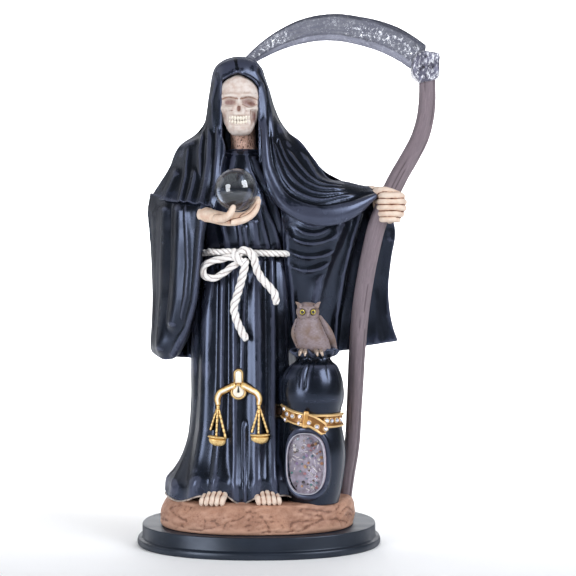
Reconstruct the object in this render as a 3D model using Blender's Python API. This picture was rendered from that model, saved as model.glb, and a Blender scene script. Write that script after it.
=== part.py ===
"""A santa muerte statue: one painted resin casting on a moulded oval board, with a glass ball in one
hand, a scythe in the other, and a sack with a clear window and a jewelled belt at its side.

Metres, +Z up. The figure faces -Y. The origin is the middle of the board's underside.
"""

import math

import bmesh
import bpy
import numpy as np
from mathutils import Vector
from mathutils.bvhtree import BVHTree

# Driving dimensions, in metres.
FIGURE_HEIGHT = 0.340
BOARD_THICKNESS = 0.015
BOARD_LEDGE = 0.0145
BOARD_FOOT_HEIGHT = 0.0050
BOARD_FOOT_REACH = 0.0036
BALL_DIAMETER = 0.030
HANDLE_DIAMETER = 0.0128
BLADE_THICKNESS = 0.0044
SOCKET_WALL = 0.0021
SOCKET_LENGTH = 0.0234
SOCKET_CAP = 0.0117
SOCKET_DEPTH = 0.0190
WINDOW_WIDTH = 0.0270
WINDOW_HEIGHT = 0.0420
WINDOW_DEPTH = 0.0060
WINDOW_CROWN = 0.0022
STONE_DIAMETER = 0.0031
STONE_HEIGHT = 0.0015
BELT_HEIGHT = 0.0080
BELT_THICKNESS = 0.0016
ROPE_DIAMETER = 0.0046
GAP = 0.0003

# The casting's own points are written in thousandths of a 0.340 m figure, from its underside up.
UNIT = FIGURE_HEIGHT / 340
FOOT_LEVEL = BOARD_THICKNESS + GAP

# How fine each skin is made.
VOXEL = 1.15 * UNIT
CASTING_TRIANGLES = 5900
HANDLE_RINGS, HANDLE_SIDES = 24, 8
BALL_RINGS, BALL_SIDES = 14, 20

# A cut's flat faces lie inside its round form, so that a cutter is this much wider than its gap.
CLEAR_SHARE = 1.6

COLOURS = {
    "black_resin": ((0.013, 0.014, 0.018), 0.30, 0.0),
    "black_lacquer": ((0.016, 0.018, 0.022), 0.35, 0.0),
    "painted_wood": ((0.115, 0.078, 0.078), 0.70, 0.0),
    "silver_paint": ((0.300, 0.300, 0.350), 0.45, 0.6),
    "clear_glass": ((0.900, 0.920, 0.930), 0.03, 0.0),
    "clear_resin": ((0.800, 0.800, 0.820), 0.08, 0.0),
    "cut_glass": ((0.850, 0.850, 0.900), 0.05, 0.0),
}


def place(points):
    """The casting's own points as places in the model, in metres."""
    placed = np.asarray(points, float) * UNIT
    placed[..., 2] += FOOT_LEVEL
    return placed


def own(length):
    """A real length in the casting's own units."""
    return length / UNIT


# Curves and surfaces


def along(points, count):
    """Evenly spaced points on a smooth curve through the given ones."""
    p = np.asarray(points, float)
    t = np.concatenate([[0], np.cumsum(np.linalg.norm(np.diff(p, axis=0), axis=1))])
    slope = np.gradient(p, t, axis=0)
    s = np.linspace(0, t[-1], count)
    i = np.clip(np.searchsorted(t, s, side="right") - 1, 0, len(t) - 2)
    h = (t[i + 1] - t[i])[:, None]
    k = ((s - t[i]) / (t[i + 1] - t[i]))[:, None]
    k2, k3 = k * k, k * k * k
    return (
        (2 * k3 - 3 * k2 + 1) * p[i]
        + (k3 - 2 * k2 + k) * h * slope[i]
        + (3 * k2 - 2 * k3) * p[i + 1]
        + (k3 - k2) * h * slope[i + 1]
    )


def loft(rows, across, down):
    """A grid of points, down x across, on a smooth surface through rows of points."""
    sampled = np.array([along(row, across) for row in rows])
    steps = np.linalg.norm(np.diff(sampled.mean(axis=1), axis=0), axis=1)
    t = np.concatenate([[0], np.cumsum(steps)])
    slope = np.gradient(sampled, t, axis=0)
    s = np.linspace(0, t[-1], down)
    i = np.clip(np.searchsorted(t, s, side="right") - 1, 0, len(t) - 2)
    h = (t[i + 1] - t[i])[:, None, None]
    k = ((s - t[i]) / (t[i + 1] - t[i]))[:, None, None]
    k2, k3 = k * k, k * k * k
    return (
        (2 * k3 - 3 * k2 + 1) * sampled[i]
        + (k3 - 2 * k2 + k) * h * slope[i]
        + (3 * k2 - 2 * k3) * sampled[i + 1]
        + (k3 - k2) * h * slope[i + 1]
    )


def fade(t, start, end, soft):
    """1 between start and end, easing to 0 over soft outside them."""
    rise = np.clip((t - start + soft) / soft, 0, 1)
    fall = np.clip((end + soft - t) / soft, 0, 1)
    w = np.minimum(rise, fall)
    return w * w * (3 - 2 * w)


def folds(s, t, ridges, soft=0.12):
    """The height of ridges that run along t: (s at t=0, s at t=1, width, height, from t, to t)."""
    height = np.zeros(np.broadcast(s, t).shape)
    for first, last, width, high, start, end in ridges:
        middle = first + (last - first) * t
        height = height + high * np.exp(-(((s - middle) / width) ** 2)) * fade(t, start, end, soft)
    return height


def normals(grid):
    """Unit normals of a grid of points, turned to face the viewer's side, -Y."""
    n = np.cross(np.gradient(grid, axis=1), np.gradient(grid, axis=0))
    n /= np.linalg.norm(n, axis=2, keepdims=True) + 1e-9
    return np.where((n[..., 1].mean() > 0), -n, n)


def unit_grid(grid):
    """(u, v), each from 0 to 1, across and down a grid."""
    down, across = grid.shape[:2]
    v, u = np.meshgrid(np.linspace(0, 1, down), np.linspace(0, 1, across), indexing="ij")
    return u, v


# Shells: each is a closed mesh as (points, faces) in the casting's own units


def between(front, back):
    """The closed shell between a front grid and a back grid of the same size."""
    down, across = front.shape[:2]
    count = down * across
    index = np.arange(count).reshape(down, across)
    faces = []
    for i in range(down - 1):
        for j in range(across - 1):
            a, b, c, d = index[i, j], index[i, j + 1], index[i + 1, j + 1], index[i + 1, j]
            faces.append((a, b, c, d))
            faces.append((d + count, c + count, b + count, a + count))
    rim = [*index[0, :-1], *index[:-1, -1], *index[-1, :0:-1], *index[:0:-1, 0]]
    for a, b in zip(rim, rim[1:] + rim[:1], strict=True):
        faces.append((b, a, a + count, b + count))
    return np.concatenate([front.reshape(-1, 3), back.reshape(-1, 3)]), faces


def stacked(rings):
    """The closed shell through a stack of rings, each a closed loop with as many points."""
    rings = np.asarray(rings, float)
    down, around = rings.shape[:2]
    index = np.arange(down * around).reshape(down, around)
    faces = [
        (index[i, j], index[i, (j + 1) % around], index[i + 1, (j + 1) % around], index[i + 1, j])
        for i in range(down - 1)
        for j in range(around)
    ]
    ends = np.array([rings[0].mean(axis=0), rings[-1].mean(axis=0)])
    first, last = down * around, down * around + 1
    faces += [(index[0, (j + 1) % around], index[0, j], first) for j in range(around)]
    faces += [(index[-1, j], index[-1, (j + 1) % around], last) for j in range(around)]
    return np.concatenate([rings.reshape(-1, 3), ends]), faces


def tube(path, radii, count, sides=10, domed=True):
    """A round rod along a smooth path, with a radius at each given point, and domed or flat ends."""
    path = np.asarray(path, float)
    radii = np.broadcast_to(np.asarray(radii, float), len(path))
    line = along(np.column_stack([path, radii]), count)
    middle, radius = line[:, :3], line[:, 3]
    ahead = np.gradient(middle, axis=0)
    ahead /= np.linalg.norm(ahead, axis=1, keepdims=True) + 1e-9
    side = np.cross(ahead[0], (0, 0, 1) if abs(ahead[0][2]) < 0.8 else (1, 0, 0))
    turns = np.linspace(0, 2 * math.pi, sides, endpoint=False)
    dome = np.linspace(0.12, 1, 4, endpoint=False) * math.pi / 2 if domed else np.array([])
    stations = [(0, -math.cos(a), math.sin(a)) for a in dome]
    stations += [(i, 0.0, 1.0) for i in range(count)]
    stations += [(count - 1, math.cos(a), math.sin(a)) for a in dome[::-1]]
    rings = []
    for i, out, size in stations:
        side = side - ahead[i] * (side @ ahead[i])
        side /= np.linalg.norm(side)
        other = np.cross(ahead[i], side)
        spokes = np.outer(np.cos(turns), side) + np.outer(np.sin(turns), other)
        rings.append(middle[i] + radius[i] * (ahead[i] * out + spokes * size))
    return stacked(rings)


def egg(centre, radii, rings=12, sides=16):
    """An ellipsoid."""
    angles = np.linspace(0.06, math.pi - 0.06, rings)
    turns = np.linspace(0, 2 * math.pi, sides, endpoint=False)
    unit = np.array(
        [[(math.sin(a) * math.cos(t), math.sin(a) * math.sin(t), math.cos(a)) for t in turns] for a in angles]
    )
    return stacked(np.asarray(centre, float) + unit * np.asarray(radii, float))


def oval(middle_x, half_width, front, back, level, count, power=2.2, lean=0.0):
    """A level ring: an oval from front to back, squarer as power grows."""
    t = np.linspace(0, 2 * math.pi, count, endpoint=False)
    c, s = np.cos(t), np.sin(t)
    x = middle_x + half_width * np.sign(c) * np.abs(c) ** (2 / power)
    y = (front + back) / 2 + (back - front) / 2 * np.sign(s) * np.abs(s) ** (2 / power)
    return np.column_stack([x, y, np.full(count, level) + lean * c])


def rings_of(table, count, down, power=2.2):
    """Level rings read from a smooth curve through (level, left, right, front, back) rows."""
    rows = along(table, down)
    return np.array(
        [oval((left + right) / 2, (right - left) / 2, front, back, level, count, power) for level, left, right, front, back in rows]
    )


# The cloak's outline as seen from the front: (level, left edge, right edge), and its back

OUTLINE = np.array([
    (116, -78, 100), (131, -79.5, 102), (147, -79, 97), (169, -78.2, 94.8), (190, -79.5, 97), (213, -81, 100),
    (226, -82, 98), (236, -79.5, 88), (243, -75, 78), (249, -71, 56), (258, -66, 45), (275, -58, 32), (287, -41.5, 19.2),
    (298, -38.8, 13.1), (309, -37.4, 9.4), (316, -36.2, 7.2), (323, -35.1, 5.0), (331, -32.9, 2.1), (337, -26.6, -2.5),
])
SPINE_X = -13.0


def edge_at(level, side):
    """The cloak's left (0) or right (1) edge at a level."""
    return np.interp(level, OUTLINE[:, 0], OUTLINE[:, 1 + side])


def back_at(x, level):
    """How far back the cloak's back lies behind a point seen from the front."""
    left, right = edge_at(level, 0) - 0.5, edge_at(level, 1) + 0.5
    t = np.where(x < SPINE_X, (SPINE_X - x) / (SPINE_X - left), (x - SPINE_X) / (right - SPINE_X))
    t = np.clip(t, 0, 1)
    rim = np.interp(level, [120, 200, 240, 262, 290], [7, 8, 3, 3, 9])
    deepest = np.interp(level, [116, 150, 200, 262, 290, 320, 337], [43, 43, 41, 38, 35, 33, 24])
    wide = np.interp(level, [240, 290], [1.0, 0.0])
    shape = (1 - t ** (2 - 0.55 * wide)) ** (0.5 + 0.28 * wide)
    hanging = np.interp(level, [150, 262, 300], [1.0, 0.45, 0.0])
    ripple = 1.7 * np.cos(x * 0.33 + 0.4 * np.sin(level * 0.02)) + 0.9 * np.cos(x * 0.71 + level * 0.004)
    return rim + (deepest - rim) * shape + ripple * hanging * (1 - t**3)


def backed(front, least=1.5):
    """A shell from a front grid straight back to the cloak's back."""
    back = front.copy()
    back[..., 1] = np.maximum(back_at(front[..., 0], front[..., 2]), front[..., 1] + least)
    return between(front, back)


def draped(rows, ridges, across, down, cross_folds=False, lift=0.0):
    """A front grid through rows, raised into folds that run down it, or across it."""
    grid = loft(rows, across, down)
    u, v = unit_grid(grid)
    height = folds(v, u, ridges) if cross_folds else folds(u, v, ridges)
    return grid + normals(grid) * (height + lift)[..., None]


# The robe and the cloak

SLEEVE = [
    [(-79.5, 0, 240), (-71, -14, 238), (-57, -26, 236), (-44, -36, 233), (-34, -42, 230)],
    [(-82.1, 6, 228), (-71.5, -15, 228), (-57, -31, 227), (-45, -41, 226), (-35.0, -45, 224)],
    [(-80.8, 8, 211), (-71.3, -13, 211), (-59, -29, 211), (-48, -39, 210.5), (-38.0, -43, 210)],
    [(-79.3, 8, 187), (-69.9, -13, 187), (-58.6, -28, 187), (-48.7, -36, 187), (-40.2, -40, 187)],
    [(-78.2, 8, 161.5), (-69.1, -12, 162), (-60.2, -25, 162), (-51, -33, 162), (-43.6, -35, 162)],
    [(-78.8, 6, 143), (-71.3, -12, 143.5), (-62.5, -23, 144), (-54.2, -28, 144), (-48.8, -29, 144)],
    [(-79.7, 4, 128.5), (-73.7, -11, 127.5), (-66.4, -19, 127), (-59.7, -22, 128.5), (-55.2, -21, 131)],
    [(-78.2, 0, 123.5), (-73, -9, 120.5), (-67.4, -15, 118.8), (-63, -16, 119.8), (-60.5, -16, 122.8)],
]
SLEEVE_FOLDS = [
    (0.20, 0.18, 0.060, 2.0, 0.10, 0.95),
    (0.40, 0.36, 0.055, 2.8, 0.08, 0.85),
    (0.60, 0.62, 0.060, 2.2, 0.12, 0.70),
    (0.80, 0.86, 0.050, 1.8, 0.10, 0.90),
    (0.985, 0.985, 0.030, 1.4, 0.05, 1.00),
]
SHOULDER = [
    [(-37.1, 9, 309), (-35.4, -3, 308), (-32.5, -12, 307), (-29.2, -17, 306)],
    [(-41.4, 7, 287.5), (-37.5, -7, 286), (-33, -15, 285.5), (-27.7, -19, 285)],
    [(-58, 3, 275.2), (-48.4, -9, 275.5), (-36.3, -18, 274.5), (-29.7, -21, 273), (-24, -22, 272)],
    [(-65.8, 0, 258), (-53.9, -14, 258.5), (-41.1, -23, 258), (-32.3, -27, 258), (-25.8, -28, 258)],
    [(-72.9, -2, 246.3), (-58.5, -20, 244.7), (-44.3, -30, 243.5), (-34.8, -34, 242.5), (-27.6, -35, 242)],
    [(-79.9, 0, 236), (-63.1, -26, 232.6), (-48, -38, 230.7), (-37, -45, 228.6), (-30.4, -47, 226.6)],
]
SHOULDER_FOLDS = [
    (0.30, 0.16, 0.040, 1.6, 0.45, 1.00),
    (0.40, 0.33, 0.034, 2.3, 0.42, 1.00),
    (0.52, 0.50, 0.034, 2.2, 0.45, 1.00),
    (0.58, 0.66, 0.040, 2.2, 0.10, 1.00),
    (0.74, 0.79, 0.038, 2.2, 0.05, 1.00),
    (0.90, 0.93, 0.040, 2.0, 0.02, 1.00),
]
SWAG = [
    [(7.2, 9, 320), (12.4, 8, 301.5), (19.7, 5, 286.6), (30, 0, 278), (41, -5, 263.5), (52.5, -8, 249.2), (62.4, -10, 248), (73.2, -11, 245.4), (87, -11, 243.2)],
    [(6.8, 1, 312), (10, -6, 289.2), (16.3, -13, 272), (28, -19, 256), (43, -22, 244), (62.1, -20, 241.8), (86, -15, 241.3)],
    [(4.6, -8, 307.2), (7.6, -16, 281), (13.4, -24, 259), (26.3, -30, 241), (44, -31, 234), (62.6, -26, 235.8), (85, -19, 239.7)],
    [(2.6, -14, 306.5), (4.9, -21, 277), (9.2, -29, 251.5), (20.6, -34, 232.8), (42.4, -36, 225), (62.4, -31, 228), (84, -21, 237.2)],
    [(0.4, -18, 306), (2.0, -24, 275.2), (4.2, -31, 249), (12.8, -35, 230.3), (29.7, -37, 218.4), (45.2, -36, 214.8), (61.6, -32, 217.8), (74.8, -26, 226), (82.9, -21, 234.8)],
]
SWAG_FOLDS = [
    (0.13, 0.18, 0.034, 1.6, 0.50, 0.72),
    (0.28, 0.30, 0.036, 2.4, 0.36, 0.80),
    (0.43, 0.44, 0.034, 2.8, 0.22, 0.84),
    (0.56, 0.56, 0.032, 2.6, 0.12, 0.86),
    (0.68, 0.67, 0.030, 2.6, 0.05, 0.88),
    (0.88, 0.88, 0.085, 2.4, 0.04, 0.96),
]
ARM_DRAPE = [
    [(14, -16, 240), (36.9, -22, 236), (55, -20, 238), (71, -15, 240), (84.5, -9, 241.5)],
    [(17, -22, 214), (36.9, -26, 213.6), (54.8, -21, 213.7), (71, -11, 214.5), (86.7, -3, 215), (99.7, 4, 215)],
    [(18.5, -19, 191), (36.9, -22, 191), (55, -16, 191), (69.7, -9, 191), (84.7, -1, 191), (96.8, 5, 191)],
    [(20.5, -15, 169), (37, -19, 169), (52.9, -14, 169), (67.6, -7, 169), (82.5, 0, 169), (94.6, 5, 169)],
    [(21.9, -12, 148), (37, -14, 148), (51.5, -11, 148), (66.2, -6, 147.3), (82.6, 1, 147), (96.8, 5, 147)],
    [(24, -9, 126), (38.5, -11, 124), (56, -9, 124.5), (78.1, -1, 128), (102.1, 6, 131.3)],
]
ARM_DRAPE_FOLDS = [
    (0.56, 0.34, 0.022, 2.0, 0.12, 0.95),
    (0.70, 0.60, 0.040, 1.8, 0.20, 1.00),
    (0.42, 0.22, 0.050, 1.6, 0.40, 1.00),
    (0.90, 0.88, 0.050, 1.2, 0.15, 0.85),
]
CRESCENT_FOLDS = [
    (218.5, 0.9, 34), (211.5, 1.9, 35), (203.5, 2.2, 35), (194.0, 2.4, 33), (184.5, 2.0, 32), (176.0, 1.4, 31),
]


def arm_drape(across, down):
    """The robe's hanging sleeve, with crescent folds under the arm."""
    grid = draped(ARM_DRAPE, ARM_DRAPE_FOLDS, across, down)
    x, z = grid[..., 0], grid[..., 2]
    crescents = np.zeros(x.shape)
    for level, high, middle in CRESCENT_FOLDS:
        sag = level + 0.022 * (x - middle) ** 2
        crescents += high * np.exp(-(((z - sag) / 2.1) ** 2)) * np.exp(-(((x - middle) / 13) ** 4))
    grid[..., 1] -= crescents
    return grid


BACK_TOP = 318
BACK_HEM = [(0, 124), (0.07, 119), (0.25, 116), (0.45, 116), (0.60, 120), (0.80, 126), (1, 131)]


def cloak_back(across, down):
    """The cloak's whole back, from one edge to the other and from the head to its hem."""
    u, v = unit_grid(np.zeros((down, across, 3)))
    hem = np.interp(u, *zip(*BACK_HEM, strict=True))
    level = hem + (BACK_TOP - hem) * (1 - v)
    x = edge_at(level, 0) * (1 - u) + edge_at(level, 1) * u
    back = np.stack([x, back_at(x, level), level], axis=2)
    front = back - np.stack([0 * u, 1.6 + 8 * np.sqrt(np.sin(np.pi * u.clip(0.001, 0.999))), 0 * u], axis=2)
    return between(front, back)


ROBE = [
    # level, left, right, front, back
    (21, -68, 46, -47, 42), (30.8, -66.8, 45, -47.5, 41), (38, -60.8, 42, -45.5, 39), (45, -56.4, 39, -43.5, 37),
    (60, -50.9, 35, -40, 33), (74, -48.7, 32, -38, 31), (89, -47.7, 30, -36.5, 30), (118, -48, 27, -33.5, 29),
    (150, -46.5, 24, -30.5, 28), (178, -42.5, 22, -27, 27), (192, -39.5, 20.5, -24.5, 26), (197, -39, 20.5, -24, 26),
    (204, -40, 21.5, -25.5, 26), (220, -41, 23, -27, 27), (240, -40, 22, -25, 28), (256, -36, 14, -22, 28),
    (266, -30, 6, -17.5, 26), (271, -24, 1, -13, 22),
]
SKIRT_FOLDS = [
    # x at the girdle, x at the hem, width, height
    (-33, -55, 3.0, 2.2), (-28, -43, 3.4, 3.0), (-20, -28, 2.8, 2.6), (-13, -17, 1.9, 1.8), (-8, -9, 2.0, 2.0),
    (-1, -2.5, 2.8, 2.8), (6, 7, 2.8, 2.4), (12, 17, 3.0, 2.6), (17, 28, 3.4, 2.4),
]
BODICE_FOLDS = [
    # x and level at the top, x and level at the bottom, width, height
    (-12, 268, -8, 246, 1.6, 1.4), (-7, 266, 2, 240, 1.7, 1.5), (-3, 262, 13, 204, 1.7, 2.0), (1, 255, 17, 208, 1.6, 1.6),
    (-12, 214, -9, 202, 2.6, 1.8), (-24, 214, -20, 202, 1.5, 1.6), (3, 214, 4, 202, 1.7, 1.6), (-18, 268, -20, 246, 1.6, 1.2),
]
GIRDLE_LEVEL = 195.0


def hem_lift(x):
    """How far the hem rises over each foot, and dips between."""
    return 8.2 * np.exp(-(((x + 32) / 9.0) ** 2)) + 8.2 * np.exp(-(((x - 8) / 9.5) ** 2))


def robe(around, down):
    """The robe from hem to neck, with folds that spread from the girdle."""
    rings = rings_of(ROBE, around, down, 2.3)
    middle = np.array([ring.mean(axis=0) for ring in rings])[:, None, :]
    x, z = rings[..., 0], rings[..., 2]
    front = rings[..., 1] < middle[..., 1]
    outward = rings - middle
    outward /= np.linalg.norm(outward, axis=2, keepdims=True)
    height = np.zeros(x.shape)
    drop = np.clip((GIRDLE_LEVEL - 3 - z) / (GIRDLE_LEVEL - 30), 0, 1)
    for top, bottom, width, high in SKIRT_FOLDS:
        centre = top + (bottom - top) * drop
        spread = width * (1 + 0.35 * drop)
        height += front * high * np.exp(-(((x - centre) / spread) ** 2)) * fade(z, 20, 184, 10) * (0.55 + 0.6 * drop)
    for x0, z0, x1, z1, width, high in BODICE_FOLDS:
        centre = x0 + (x1 - x0) * (z0 - z) / (z0 - z1)
        height += front * high * np.exp(-(((x - centre) / width) ** 2)) * fade(z, z1, z0, 6)
    angle = np.arctan2(rings[..., 1] - middle[..., 1], x - middle[..., 0])
    behind = (1.7 * np.cos(angle * 13) + 0.8 * np.cos(angle * 7 + 1)) * fade(z, 20, 150, 30)
    height += np.where(front, 0, behind) * np.clip(np.abs(np.sin(angle)) * 2, 0, 1)
    rings += outward * height[..., None]
    low = np.clip((60 - z) / 30, 0, 1) * (rings[..., 1] < 0)
    rings[..., 2] += hem_lift(x) * low
    return stacked(rings)


HOOD = [
    (250, -56, 38, -14, 38.6), (262, -52, 34, -18, 38), (275, -46, 24, -20, 36.6), (286.6, -41.4, 19, -20.5, 35.4),
    (298, -38.8, 13.1, -19.5, 34.6), (309, -37.4, 9.4, -19, 34), (316, -36.2, 7.2, -18.8, 33), (323.4, -35.1, 5, -18, 31.5), (331, -32.9, 2.1, -15.5, 28),
    (336.7, -26.7, -2.4, -9, 22), (339.2, -20, -8.5, -2, 16),
]
OPENING = np.array([
    # level, left edge, right edge
    (250, -25, -0.5), (262, -25, -0.5), (277, -27, 0.6), (295, -28.9, 1.2), (306, -28.8, 0.8), (314.5, -27, -1.6), (320.9, -22.2, -6.0),
    (324.3, -14.9, -14.5),
])
OPENING_DEPTH = 4.0


def hood(around, down):
    """The hood round the head, with a recess in front for the skull."""
    rings = rings_of(HOOD, around, down, 2.15)
    x, y, z = rings[..., 0], rings[..., 1], rings[..., 2]
    middle = rings.mean(axis=1, keepdims=True)
    front = y < middle[..., 1]
    left = np.interp(z, OPENING[:, 0], OPENING[:, 1])
    right = np.interp(z, OPENING[:, 0], OPENING[:, 2])
    inside = front & (x > left) & (x < right) & (z < OPENING[-1, 0])
    angle = np.arctan2(y - middle[..., 1], x - middle[..., 0])
    outward = rings - middle
    outward /= np.linalg.norm(outward, axis=2, keepdims=True)
    gathers = folds(angle, (z - 262) / 78, [
        (-2.45, -2.2, 0.10, 1.2, 0.0, 0.75), (-2.80, -2.6, 0.10, 1.1, 0.0, 0.8), (-0.45, -0.75, 0.09, 1.3, 0.0, 0.8),
        (-0.20, -0.45, 0.08, 1.2, 0.0, 0.8),
    ], 0.2)
    rings += outward * gathers[..., None]
    rings[..., 1] = np.where(inside, OPENING_DEPTH, rings[..., 1])
    return stacked(rings)


# The skull, neck, hands and feet

SKULL = [
    (281.2, -17, -9.6, -18.5, -10), (283.5, -20.5, -6.2, -21, -5), (287, -23.6, -3.4, -21.6, 0), (292, -25.6, -2.2, -21.4, 4),
    (297, -27.2, -1.6, -20.4, 8), (301, -28.4, -0.8, -19.8, 12), (306, -28.9, -0.4, -19.2, 15), (311, -28.9, -0.6, -18.8, 16),
    (316, -27.6, -1.8, -17, 16), (320.5, -24.0, -5.2, -12.8, 14), (323, -19.6, -9.6, -7.5, 10),
]
SKULL_MARKS = [
    # x, level, half-width, half-height, how far in (+) or out (-), sharpness
    (-21.6, 304.2, 4.9, 3.4, 4.4, 4), (-7.4, 304.2, 4.9, 3.4, 4.4, 4), (-14.2, 298.6, 1.9, 2.5, 2.8, 3),
    (-21.9, 309.4, 5.6, 1.7, -1.2, 2), (-7.1, 309.4, 5.6, 1.7, -1.2, 2), (-14.4, 304.6, 1.8, 3.6, -1.0, 2),
    (-24.4, 298.6, 3.4, 1.8, -1.8, 2), (-4.4, 298.6, 3.4, 1.8, -1.8, 2), (-24.0, 292.4, 2.6, 3.6, 2.6, 3),
    (-4.4, 292.4, 2.6, 3.6, 2.6, 3), (-13.8, 291.4, 7.6, 3.0, -1.6, 4), (-13.6, 284.0, 5.0, 2.2, -1.0, 2),
]


def skull(around, down):
    """A skull as level rings, with sockets, nose, cheekbones and jaw pressed in or raised."""
    rings = rings_of(SKULL, around, down, 2.15)
    x, y, z = rings[..., 0], rings[..., 1], rings[..., 2]
    front = y < rings.mean(axis=1, keepdims=True)[..., 1]
    for mx, mz, wide, high, deep, sharp in SKULL_MARKS:
        reach = np.abs((x - mx) / wide) ** sharp + np.abs((z - mz) / high) ** sharp
        rings[..., 1] += front * deep * np.exp(-reach)
    return stacked(rings)


NECK = [(266, -22.5, -0.5, -11, 12), (270, -21.2, -1.4, -10, 10), (274, -20.2, -3, -9, 9), (279, -20, -3.8, -8.5, 8), (286, -20.5, -5, -8, 8)]
PALM = [((-41, -38, 224), 6.2), ((-33, -44, 220), 6.4), ((-24, -49, 218.4), 6.4), ((-15, -52, 218.2), 6.0), ((-9, -52, 218.8), 4.6)]
OPEN_FINGERS = [
    [((-15, -60, 217.6), 3.2), ((-6, -61.5, 219.6), 2.9), ((-0.5, -61, 224.0), 2.6), ((1.2, -59.5, 227.4), 2.3)],
    [((-15, -55, 216.6), 3.3), ((-5, -56.5, 219.0), 3.0), ((1.2, -56, 225.0), 2.8), ((1.6, -54, 231.0), 2.4)],
    [((-15, -49, 217.0), 3.2), ((-5, -50, 219.4), 3.0), ((1.8, -49, 225.5), 2.7), ((2.0, -47.5, 231.5), 2.3)],
    [((-15, -43.5, 218.4), 3.1), ((-5, -43.5, 220.4), 2.8), ((1.4, -43, 225.5), 2.5), ((1.8, -42, 229.6), 2.2)],
]
OPEN_THUMB = [((-29, -54, 219.0), 3.8), ((-23, -60, 219.6), 3.4), ((-19.6, -63.0, 222.6), 3.0), ((-18.6, -64.0, 227.4), 2.6)]
FIST_LEVELS = [232.6, 228.2, 223.8, 219.4]
FINGER_RADIUS = 2.75
TOES = [(0, 0.95, 3.4), (5.6, 1.0, 3.0), (10.4, 1.0, 2.9), (14.8, 0.95, 2.8), (18.8, 0.85, 2.6)]
FEET = [(-41.5, 20.4), (-0.5, 20.8)]

HANDLE = [
    (62.6, -9, 17.0), (64.8, -9.5, 36), (67.4, -10, 54), (69.6, -11, 90), (71.4, -12, 126), (74.6, -13.5, 162),
    (80.8, -15, 197), (85.2, -16, 215), (90.6, -16, 229), (97.6, -16, 244.5), (101.5, -16, 252), (109, -16, 265),
    (115.6, -16, 278), (119.6, -15.6, 292), (121.2, -15, 306), (121.2, -14.6, 318), (121.0, -14.3, 329),
]
HANDLE_TAPER = [(0.00, 0.74), (0.10, 0.86), (0.30, 0.96), (0.55, 1.06), (0.75, 1.02), (1.00, 0.92)]


def handle_at(level):
    """The middle of the scythe's handle at a level."""
    line = along(HANDLE, 120)
    return np.array([np.interp(level, line[:, 2], line[:, i]) for i in range(2)] + [level])


def handle_radius(share):
    """The handle's radius at a share of its length, in the casting's own units."""
    return own(HANDLE_DIAMETER) / 2 * np.interp(share, *zip(*HANDLE_TAPER, strict=True))


def fist():
    """Four fingers wrapped round the handle, on the back of a hand with its thumb over the top."""
    grip = own(HANDLE_DIAMETER) / 2 + FINGER_RADIUS * 0.55
    shells = []
    for level in FIST_LEVELS:
        middle = handle_at(level)
        turn = np.radians([200, 232, 262, 292, 322, 350, 378])
        reach = grip + np.array([1.8, 1.2, 0.9, 1.0, 1.2, 0.8, 0.2])
        path = [middle + np.array((math.cos(a) * r * 1.12, math.sin(a) * r, 0)) for a, r in zip(turn, reach, strict=True)]
        shells.append(tube(path, [2.5, 2.75, 2.8, 2.75, 2.75, 2.7, 2.5], 22, 10))
    top, low = handle_at(237.0), handle_at(217.5)
    shells.append(tube([top + (-6, 5, -3), top + (-9, -1, 0), top + (-6, -7.6, 0.6), top + (2, -9.6, -0.8), top + (8.5, -7.0, -1.6)],
                       [4.2, 4.4, 3.9, 3.3, 2.8], 20, 10))
    shells.append(tube([top + (-9, 2, 1), (top + low) / 2 + (-8.6, 3, 0), low + (-6.4, 2, 2)], [5.2, 5.2, 4.6], 14, 12))
    shells.append(tube([top + (1, 8.5, -1), (top + low) / 2 + (1, 9, 0), low + (1, 8.5, 2)], [4.0, 4.4, 4.0], 14, 12))
    shells.append(tube([(74, -4, 239), (82, -8, 238.5), top + (-9, 0, -1)], [6.4, 6.2, 5.6], 14, 12))
    return shells


def open_hand():
    """The upturned hand under the ball."""
    lines = [PALM, *OPEN_FINGERS, OPEN_THUMB]
    return [tube([p for p, _ in line], [r for _, r in line], 18, 12) for line in lines]


def feet():
    """Five toes of each foot, under the lifted hem."""
    shells = []
    for left, level in FEET:
        for i, (step, stretch, size) in enumerate(TOES if left < -20 else TOES[::-1]):
            x = left + (step if left < -20 else 18.8 - TOES[::-1][i][0])
            tip = -52.5 - 1.6 * stretch
            shells.append(tube([(x, -40, level + 5.5), (x, -47, level + 4.6), (x, tip, level + 1.6)], [size * 1.05, size, size * 0.8], 12, 8))
    return shells


# The ground

GROUND = [
    (0, -70.5, 68.5, -60, 50), (3, -71.6, 69.4, -60.8, 51), (10, -71.0, 69.6, -60.2, 51), (15, -69.4, 69.0, -58.6, 50),
    (18.5, -67.0, 67.4, -56.4, 48), (20.4, -62.0, 62.0, -51.5, 43),
]


def rough(points, grain, seed):
    """A smooth random value for each point: waves in many directions."""
    random = np.random.default_rng(seed)
    total = np.zeros(points.shape[:-1])
    for octave in range(4):
        for _ in range(5):
            direction = random.normal(size=3)
            direction *= (2**octave) / (grain * np.linalg.norm(direction))
            total += np.sin(points @ direction + random.uniform(0, 6.3)) * 0.5**octave
    return total / 4.2


def ground(around, down):
    """The lump of earth under the feet, broken on its sides."""
    rings = rings_of(GROUND, around, down, 2.35)
    middle = rings.mean(axis=1, keepdims=True)
    outward = rings - middle
    outward[..., 2] = 0
    outward /= np.linalg.norm(outward, axis=2, keepdims=True)
    lump = rough(rings, 9.0, 3)
    above = fade(rings[..., 2], 2.0, 30, 2.0)
    rings += outward * (1.1 * lump * above)[..., None]
    rings[..., 2] += 0.7 * rough(rings, 13.0, 4) * above
    return stacked(rings)


# The sack and its owl

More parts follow.
